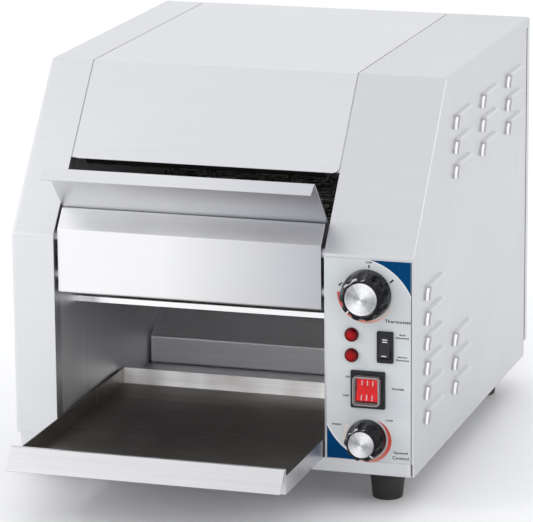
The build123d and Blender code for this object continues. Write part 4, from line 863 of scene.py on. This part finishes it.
def plateSpot(u, v, lift=0.0):
    return Vector((plateLow.x + u * mm, plateLow.y - lift * mm, plateLow.z + v * mm))


def wordMesh(name, text, u, v, width, height):
    curve = bpy.data.curves.new(name + "_outline", "FONT")
    curve.body, curve.align_x, curve.align_y = text, "CENTER", "CENTER"
    curve.size, curve.extrude, curve.resolution_u, curve.space_character = 1.0, 0.02, 3, letterLook.gap
    curve.offset = letterLook["small" if height < letterLook.largeFrom else "large"]
    holder = bpy.data.objects.new(name + "_holder", curve)
    mesh = bpy.data.meshes.new_from_object(holder)
    bpy.data.objects.remove(holder)
    xs, ys = [vertex.co.x for vertex in mesh.vertices], [vertex.co.y for vertex in mesh.vertices]
    spanX, spanY = max(xs) - min(xs), max(ys) - min(ys)
    midX, midY = (max(xs) + min(xs)) / 2, (max(ys) + min(ys)) / 2
    corner = plateSpot(u, v)
    for vertex in mesh.vertices:
        x, y, z = vertex.co
        front = inkThickness if z > 0 else -inkThickness
        vertex.co = corner + Vector(((x - midX) * width / spanX, -front, (y - midY) * height / spanY)) * mm
    return mesh


for word in plateWords:
    addPiece(word[0], wordMesh(*word), "plateInk")


def flatPrint(name, outline, finish, lift=inkThickness):
    # a closed patch of ink with the outline's points, standing proud of the plate by the lift
    def build(shape):
        back = addPoints(shape, [plateSpot(u, v, -lift) for u, v in outline])
        front = addPoints(shape, [plateSpot(u, v, lift) for u, v in outline])
        addBand(shape, back, front)
        for side in (back, front):
            face = shape.faces.new(side)
            face.normal_update()
            bmesh.ops.triangulate(shape, faces=[face])
    addPiece(name, meshFrom(name, build, sharp=20.0), finish)


def onCircle(centre, radius, turn):
    # clockwise from twelve, in degrees
    turn = radians(turn)
    return centre[0] + radius * sin(turn), centre[1] + radius * cos(turn)


# blue corners with a white line along their arc; half turns the arc from the upper to the lower one
cornerPrints = Look(
    upper=Look(centre=(27.1, 127.5), radius=53.4, corner=(plateWidth - 1.0, plateTall - 0.3), half=0),
    lower=Look(centre=(49.4, 52.3), radius=54.0, corner=(0.3, 0.3), half=180),
)
arcLook = Look(steps=40, line=1.1, lineLift=0.8, margin=0.2)


def cornerArc(look, radius, reach):
    # points at a radius, between the turns where the circle of the reach meets the corner's two edges
    across, upward = (abs(look.corner[axis] - look.centre[axis]) / reach for axis in (0, 1))
    start, end = (look.half + degrees(turn) for turn in (acos(upward), asin(across)))
    turns = [start + (end - start) * step / arcLook.steps for step in range(arcLook.steps + 1)]
    return [onCircle(look.centre, radius, turn) for turn in turns]


def onFilm(points):
    margin = arcLook.margin
    return [(u, v) for u, v in points if margin < u < plateWidth - margin and margin < v < plateTall - margin]


for name, look in cornerPrints.items():
    radius, reach = look.radius, look.radius - arcLook.line
    flatPrint(f"{name}_corner_blue", cornerArc(look, radius, radius) + [look.corner], "plateBlue")
    outer, inner = onFilm(cornerArc(look, radius, reach)), onFilm(cornerArc(look, reach, reach))
    flatPrint(f"{name}_corner_line", outer + inner[::-1], "plateWhite", arcLook.lineLift * inkThickness)

# painted shadow: a dark line printed along the plate's right edge, where it meets the bend of the housing
edgeShadowLine = Look(inset=0.15, width=0.6, ends=0.3)
right, low, high = plateWidth - edgeShadowLine.inset, edgeShadowLine.ends, plateTall - edgeShadowLine.ends
left = right - edgeShadowLine.width
flatPrint("right_edge_shadow_line", [(left, low), (right, low), (right, high), (left, high)], "plateInk")

# scales round the two dials: clockwise angle, inner radius, outer radius; and the ink's colour at an angle
dialScales = Look(
    thermostat=Look(
        centre=(36.6, 149.4),
        arc=(
            (100, 24.2, 25.0), (130, 23.6, 25.4), (180, 23.2, 25.8), (225, 22.9, 26.3), (255, 22.7, 26.6),
            (273, 22.7, 26.7),
        ),
        inks=(
            (90, (0.75, 0.75, 0.74)), (140, (0.74, 0.55, 0.5)), (185, (0.72, 0.24, 0.18)),
            (225, (0.7, 0.07, 0.04)), (275, (0.62, 0.03, 0.02)),
        ),
    ),
    speed=Look(
        centre=(36.6, 20.0),
        arc=(
            (30, 19.3, 19.7), (60, 18.9, 21.0), (95, 18.7, 22.0), (140, 18.7, 21.9), (200, 18.9, 21.4),
            (260, 18.9, 21.6), (310, 19.0, 22.2),
        ),
        inks=(
            (25, (0.6, 0.04, 0.02)), (110, (0.66, 0.06, 0.03)), (170, (0.72, 0.3, 0.22)),
            (240, (0.76, 0.62, 0.52)), (315, (0.78, 0.74, 0.68)),
        ),
    ),
)
scaleSteps = 10
for dial, look in dialScales.items():
    dialArc(dial + "Arc", plateSpot(*look.centre), look.inks)
    inner, outer = [], []
    for (turn, low, high), (nextTurn, nextLow, nextHigh) in zip(look.arc, look.arc[1:]):
        for step in range(scaleSteps):
            share = step / scaleSteps
            for side, first, last in ((inner, low, nextLow), (outer, high, nextHigh)):
                reach = first + (last - first) * share
                side.append(onCircle(look.centre, reach, turn + (nextTurn - turn) * share))
    flatPrint(dial + "_scale", outer + inner[::-1], dial + "Arc")

dialTicks = Look(
    off_tick=((37.8, 172.4), (39.0, 172.4), (39.0, 174.8), (38.4, 175.4), (37.8, 174.8)),
    low_tick=((56.3, 160.9), (57.5, 160.2), (60.6, 162.9), (59.4, 163.9)),
    high_tick=((11.0, 156.0), (11.9, 154.8), (14.9, 157.9), (14.2, 158.6)),
)
for name, outline in dialTicks.items():
    flatPrint(name, outline, "plateInk")
print("pieces: plate print")

# screws: pan heads with a cross recess in place of the plain ones; each set stands along one axis
screwLook = Look(
    headRadius=3.8, headHeight=2.2, crossWidth=0.95, crossReach=2.3, crossDepth=1.1, around=48,
    across=16, domes=((4, 0.5, 0.72), (8, 1, 0.28)), taper=0.55, spin=(0.5, 1.1),
    shankRadius=2.0, tipRadius=1.3, tipLength=0.8, rimShare=0.98, seatGap=0.05,
    axes=Look(rear_cover_screws=1, base_screws=2),
)


def looseParts(node):
    # the separate solids of a node, as lists of points
    mesh = nodes[node].data
    owner = list(range(len(mesh.vertices)))

    def root(index):
        while owner[index] != index:
            owner[index] = owner[owner[index]]
            index = owner[index]
        return index
    seen, parts = {}, {}
    for vertex in mesh.vertices:
        key = tuple(round(value, 6) for value in vertex.co)
        owner[root(vertex.index)] = root(seen.setdefault(key, vertex.index))
    for polygon in mesh.polygons:
        for corner in polygon.vertices:
            owner[root(corner)] = root(polygon.vertices[0])
    for vertex in mesh.vertices:
        parts.setdefault(root(vertex.index), []).append(vertex.co.copy())
    return list(parts.values())


def addPanHead(shape, seat, facing, shankEnd, spin):
    # domed head over its seat, with a recess, and a plain shank behind it
    look = screwLook
    turn = facing.to_track_quat("Z", "Y").to_matrix()
    around, width, reach, deep = look.around, look.crossWidth / 2, look.crossReach, look.crossDepth

    def spot(x, y, z):
        return seat + turn @ Vector((x * mm, y * mm, z * mm))

    def circle(radius, z):
        return addPoints(shape, [spot(radius * cos(a), radius * sin(a), z) for a in fullTurn(around)])

    rows = [[shape.verts.new(spot(0, 0, look.headHeight - deep))]]
    c, s = cos(spin), sin(spin)
    for row in range(1, look.across + 1):
        share = row / look.across
        r = look.headRadius * share
        dome = sum(look.headHeight * (1 - share ** power) ** root * part for power, root, part in look.domes)
        points = []
        for angle in fullTurn(around):
            x, y = r * cos(angle), r * sin(angle)
            near, far = sorted((abs(x), abs(y)))
            sink = deep * (1 - look.taper * far / reach) if near < width and far < reach else 0.0
            points.append(spot(x * c - y * s, x * s + y * c, dome - sink))
        rows.append(addPoints(shape, points))
    shank = (seat - shankEnd).length / mm
    rows.append(circle(look.headRadius * look.rimShare, -look.seatGap))
    rows.append(circle(look.shankRadius, -look.seatGap))
    rows.append(circle(look.shankRadius, -shank + look.tipLength))
    rows.append(circle(look.tipRadius, -shank))
    rows.append([shape.verts.new(spot(0, 0, -shank))])
    addBands(shape, rows)


def screwSetMesh(node, axis):
    others, (first, more) = [other for other in range(3) if other != axis], screwLook.spin

    def build(shape):
        for number, points in enumerate(looseParts(node)):
            low, high = (Vector([pick(values) for values in zip(*points)]) for pick in (min, max))
            centre, size = (low + high) / 2, high - low
            wide = max(points, key=lambda point: sum((point[other] - centre[other]) ** 2 for other in others))
            outward = Vector((0, 0, 0))
            outward[axis] = 1 if wide[axis] > centre[axis] else -1
            head = centre + outward * (size[axis] / 2 - screwLook.headHeight * mm)
            addPanHead(shape, head, outward, centre - outward * size[axis] / 2, first + number * more)
    return meshFrom(node, build, sharp=30.0)


for node, axis in screwLook.axes.items():
    name = node.replace("screws", "pan_heads")
    addPiece(name, screwSetMesh(node, axis), "screwSteel", standsFor=[node])
print("pieces: screws")

# wire belt: each cross strand is bent round the one before it, at every row of links
# past, reach and over place the hook's end beyond that strand, and endHook lengthens the hooks at the edges
beltLook = Look(
    pitch=12.7, teeth=12, runs=18, rows=7, linkWidth=1.6, wire=0.95, hook=4.6, rise=1.9,
    past=1.3, reach=1.6, over=0.2, endHook=1.6, bend=1.3, sides=6,
)


def beltStations():
    # points and outward directions one pitch apart round the two wheels
    look = beltLook
    pitch, runs = look.pitch * mm, range(look.runs + 1)
    radius = look.pitch / (2 * sin(pi / look.teeth)) * mm
    idler, drive = span("idler_shaft")[2], span("drive_shaft")[2]
    stations = [(Vector((0, idler.y + pitch * step, idler.z + radius)), Vector((0, 0, 1))) for step in runs]
    for centre, first in ((drive, 90), (idler, -90)):
        for step in range(1, look.teeth // 2):
            turn = radians(first - 360 / look.teeth * step)
            outward = Vector((0, cos(turn), sin(turn)))
            stations.append((Vector((0, centre.y, centre.z)) + outward * radius, outward))
        if centre is drive:
            back = Vector((0, 0, -1))
            stations += [(Vector((0, drive.y - pitch * step, drive.z - radius)), back) for step in runs]
    return stations


def roundedPath(points, bend):
    # each corner of a path cut by three points on a short curve
    path = [points[0]]
    for before, corner, after in zip(points, points[1:], points[2:]):
        back, ahead = before - corner, after - corner
        reach = min(bend, back.length * 0.45, ahead.length * 0.45)
        start, end = corner + back.normalized() * reach, corner + ahead.normalized() * reach
        path += [start, (start + end) * 0.25 + corner * 0.5, end]
    return path + [points[-1]]


def addWire(shape, path, radius, sides):
    # round wire along a path, with its ends closed
    rings, reference = [], None
    for index, point in enumerate(path):
        ahead = path[min(index + 1, len(path) - 1)] - path[max(index - 1, 0)]
        ahead.normalize()
        if reference is None:
            reference = ahead.orthogonal().normalized()
        reference = (reference - ahead * reference.dot(ahead)).normalized()
        other = ahead.cross(reference)
        rings.append([
            point + (reference * cos(turn) + other * sin(turn)) * radius for turn in fullTurn(sides)
        ])
    addRings(shape, rings)


def beltMesh():
    look = beltLook
    low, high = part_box("conveyor_belt")
    stations = beltStations()
    step = (high.x - low.x - look.linkWidth * mm) / (look.rows - 1)
    rows = [low.x + look.linkWidth * mm / 2 + step * row for row in range(look.rows)]
    half = look.hook * mm / 2

    def build(shape):
        for index, (spot, outward) in enumerate(stations):
            other, otherOut = stations[index - 1]
            beyond = (other - spot).normalized() * look.past * mm * look.reach
            bends = (spot, other + otherOut * look.rise * mm, other + beyond + otherOut * look.over * mm)
            points = []
            for row, x in enumerate(rows):
                left = x if row == 0 else x - half * (look.endHook if x is rows[-1] else 1)
                right = x if x is rows[-1] else x + half * (look.endHook if row == 0 else 1)
                for side, leg in ((left, bends), (right, bends[::-1])):
                    points += [bend + Vector((side, 0, 0)) for bend in leg]
            addWire(shape, roundedPath(points[1:-1], look.bend * mm), look.wire * mm, look.sides)
    return meshFrom("wire_belt", build, sharp=60.0)


addPiece("wire_belt", beltMesh(), "beltWire", standsFor=["conveyor_belt"])
print("pieces: wire belt")

# clear boot over the power rocker: thicker beads of the same soft plastic stiffen its edges
bootLook = Look(bead=0.75, inset=0.8, bend=2.6, sides=10, turns=5, footLift=0.9)


def roundedLoop(left, right, bottom, top, bend, turns):
    # points of a rectangle with round corners, as pairs of x and z
    corners = (right, top, 0), (left, top, 90), (left, bottom, 180), (right, bottom, 270)
    loop = []
    for x, z, start in corners:
        for step in range(turns + 1):
            turn = radians(start + 90 * step / turns)
            loop.append((x + bend * cos(turn), z + bend * sin(turn)))
    return loop


def addBead(shape, loop, y, radius, sides):
    # round bead along a closed loop at one depth
    rows, backward = [], Vector((0, 1, 0))
    for index, (x, z) in enumerate(loop):
        before, after = loop[index - 1], loop[(index + 1) % len(loop)]
        outward = Vector((after[1] - before[1], 0, before[0] - after[0])).normalized()
        arms = [(outward * cos(turn) + backward * sin(turn)) * radius for turn in fullTurn(sides)]
        rows.append(addPoints(shape, [Vector((x, y, z)) + arm for arm in arms]))
    addBands(shape, rows + rows[:1])


def bootBeadsMesh():
    look = bootLook
    low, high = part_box("power_switch_cover")
    inset, bead, bend = look.inset * mm, look.bead * mm, look.bend * mm
    left, right, bottom, top = low.x + inset, high.x - inset, low.z + inset, high.z - inset

    def build(shape):
        loop = roundedLoop(left + bend, right - bend, bottom + bend, top - bend, bend, look.turns)
        addBead(shape, loop, low.y + inset, bead, look.sides)
        addBead(shape, loop, high.y - look.footLift * mm, bead, look.sides)
    return meshFrom("boot_beads", build, sharp=60.0)


addPiece("boot_beads", bootBeadsMesh(), "bootBead")
print("pieces: boot beads")

# gland: grip ribs round the nut that holds the cord entry
glandLook = Look(ribs=18, ribWidth=1.3, ribLift=0.5, sunk=0.25, start=3.0, end=9.5)


def glandRibsMesh():
    look = glandLook
    low, high, centre = span("cable_gland")
    radius = (high.x - low.x) / 2 - look.sunk * mm

    def build(shape):
        for turn in fullTurn(look.ribs):
            outward = rayAt(turn)
            places = (high.y - look.end * mm, high.y - look.start * mm)
            start, end = (Vector((centre.x, y, centre.z)) + outward * radius for y in places)
            barBetween(shape, start, end, look.ribWidth * mm, look.ribLift * mm, outward)
    return meshFrom("gland_ribs", build)


addPiece("gland_ribs", glandRibsMesh(), "switchBlack")
print("pieces: gland")

floorLook = Look(
    size=30.0, color=(0.95, 0.95, 0.95), shade=(0.93, 0.93, 0.935), clouds=1.2, rough=(0.6, 0.68),
)


def paleFloor():
    shader, place = startFinish("paleFloor")
    clouds = effect("softSmudge", place, Scale=floorLook.clouds)["Mask"]
    color = mixColor(clouds, floorLook.color, floorLook.shade)
    connect(shader, color, remap(clouds, 0.0, 1.0, *floorLook.rough))
    half = floorLook.size / 2
    mesh = bpy.data.meshes.new("studio_floor_shape")
    corners = [(-half, -half, 0), (half, -half, 0), (half, half, 0), (-half, half, 0)]
    mesh.from_pydata(corners, [], [(0, 1, 2, 3)])
    mesh.materials.append(finishes["paleFloor"])
    addObject("studio_floor", mesh)


paleFloor()

# the last lamp is only for the shoulders of the two grips
lightLooks = Look(
    keyBox=Look(place=(-1.3, -0.9, 1.1), size=0.7, power=0.7, aim=(-0.05, 0, 0.2)),
    sparkBox=Look(place=(-1.15, -0.8, 1.0), size=0.16, power=2.4, aim=(0.0, -0.1, 0.2)),
    overheadBox=Look(place=(-0.3, 1.3, 2.6), size=3.0, power=3.5, aim=(0, 0, 0.2)),
    lowBox=Look(place=(-0.8, -0.8, 0.35), size=0.5, power=0.8, aim=(-0.1, 0, 0.18)),
    edgeBox=Look(place=(1.7, 0.05, 1.0), size=0.45, power=1.6, aim=(0.1, 0, 0.25)),
    gripBox=Look(place=(-0.66, -0.52, 0.88), size=1.1, power=190.0, aim=(0.145, -0.24, 0.18)),
)
for name, look in lightLooks.items():
    lamp = bpy.data.lights.new(name, "AREA")
    lamp.shape, lamp.size, lamp.energy = "SQUARE", look.size, look.power
    holder = addObject(name, lamp)
    holder.location = look.place
    holder.rotation_euler = (Vector(look.aim) - Vector(look.place)).to_track_quat("-Z", "Y").to_euler()
lit = bpy.data.collections.new("gripsOnly")
for dial in dials:
    lit.objects.link(bpy.data.objects[dial + "_grip"])
bpy.data.objects["gripBox"].light_linking.receiver_collection = lit

worldLook = Look(color=(0.98, 0.985, 1.0), strength=1.05)
world = bpy.data.worlds.new("studioAir")
world.use_nodes = True
air = world.node_tree.nodes["Background"]
air.inputs["Color"].default_value = (*worldLook.color, 1)
air.inputs["Strength"].default_value = worldLook.strength
bpy.context.scene.world = world
bpy.context.scene.view_settings.view_transform = "Standard"

# the camera's place is in millimetres from the housing's front left corner, at the counter's height
cameraLook = Look(azimuth=17.451, elevation=13.945, roll=-0.474, place=(1114.7, -2794.7, 942.4), lens=235.95)


def photoCamera():
    look = cameraLook
    azimuth, elevation, roll = (radians(look[name]) for name in ("azimuth", "elevation", "roll"))
    corner = Vector((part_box("rear_cover")[0].x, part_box("left_housing")[0].y, 0))
    level = cos(elevation)
    back = Vector((sin(azimuth) * level, -cos(azimuth) * level, sin(elevation)))
    right = Vector((0, 0, 1)).cross(back).normalized()
    up = back.cross(right)
    rolledRight = right * cos(roll) + up * sin(roll)
    rolledUp = up * cos(roll) - right * sin(roll)
    lens = bpy.data.cameras.new("photoCamera")
    lens.lens, lens.sensor_width, lens.clip_end = look.lens, 36.0, 100.0
    camera = addObject("photoCamera", lens)
    turned = Matrix((rolledRight, rolledUp, back)).transposed().to_4x4()
    camera.matrix_world = Matrix.Translation(corner + Vector(look.place) * mm) @ turned
    bpy.context.scene.camera = camera


photoCamera()
print("stage: floor, lights, camera")

bpy.context.view_layer.update()
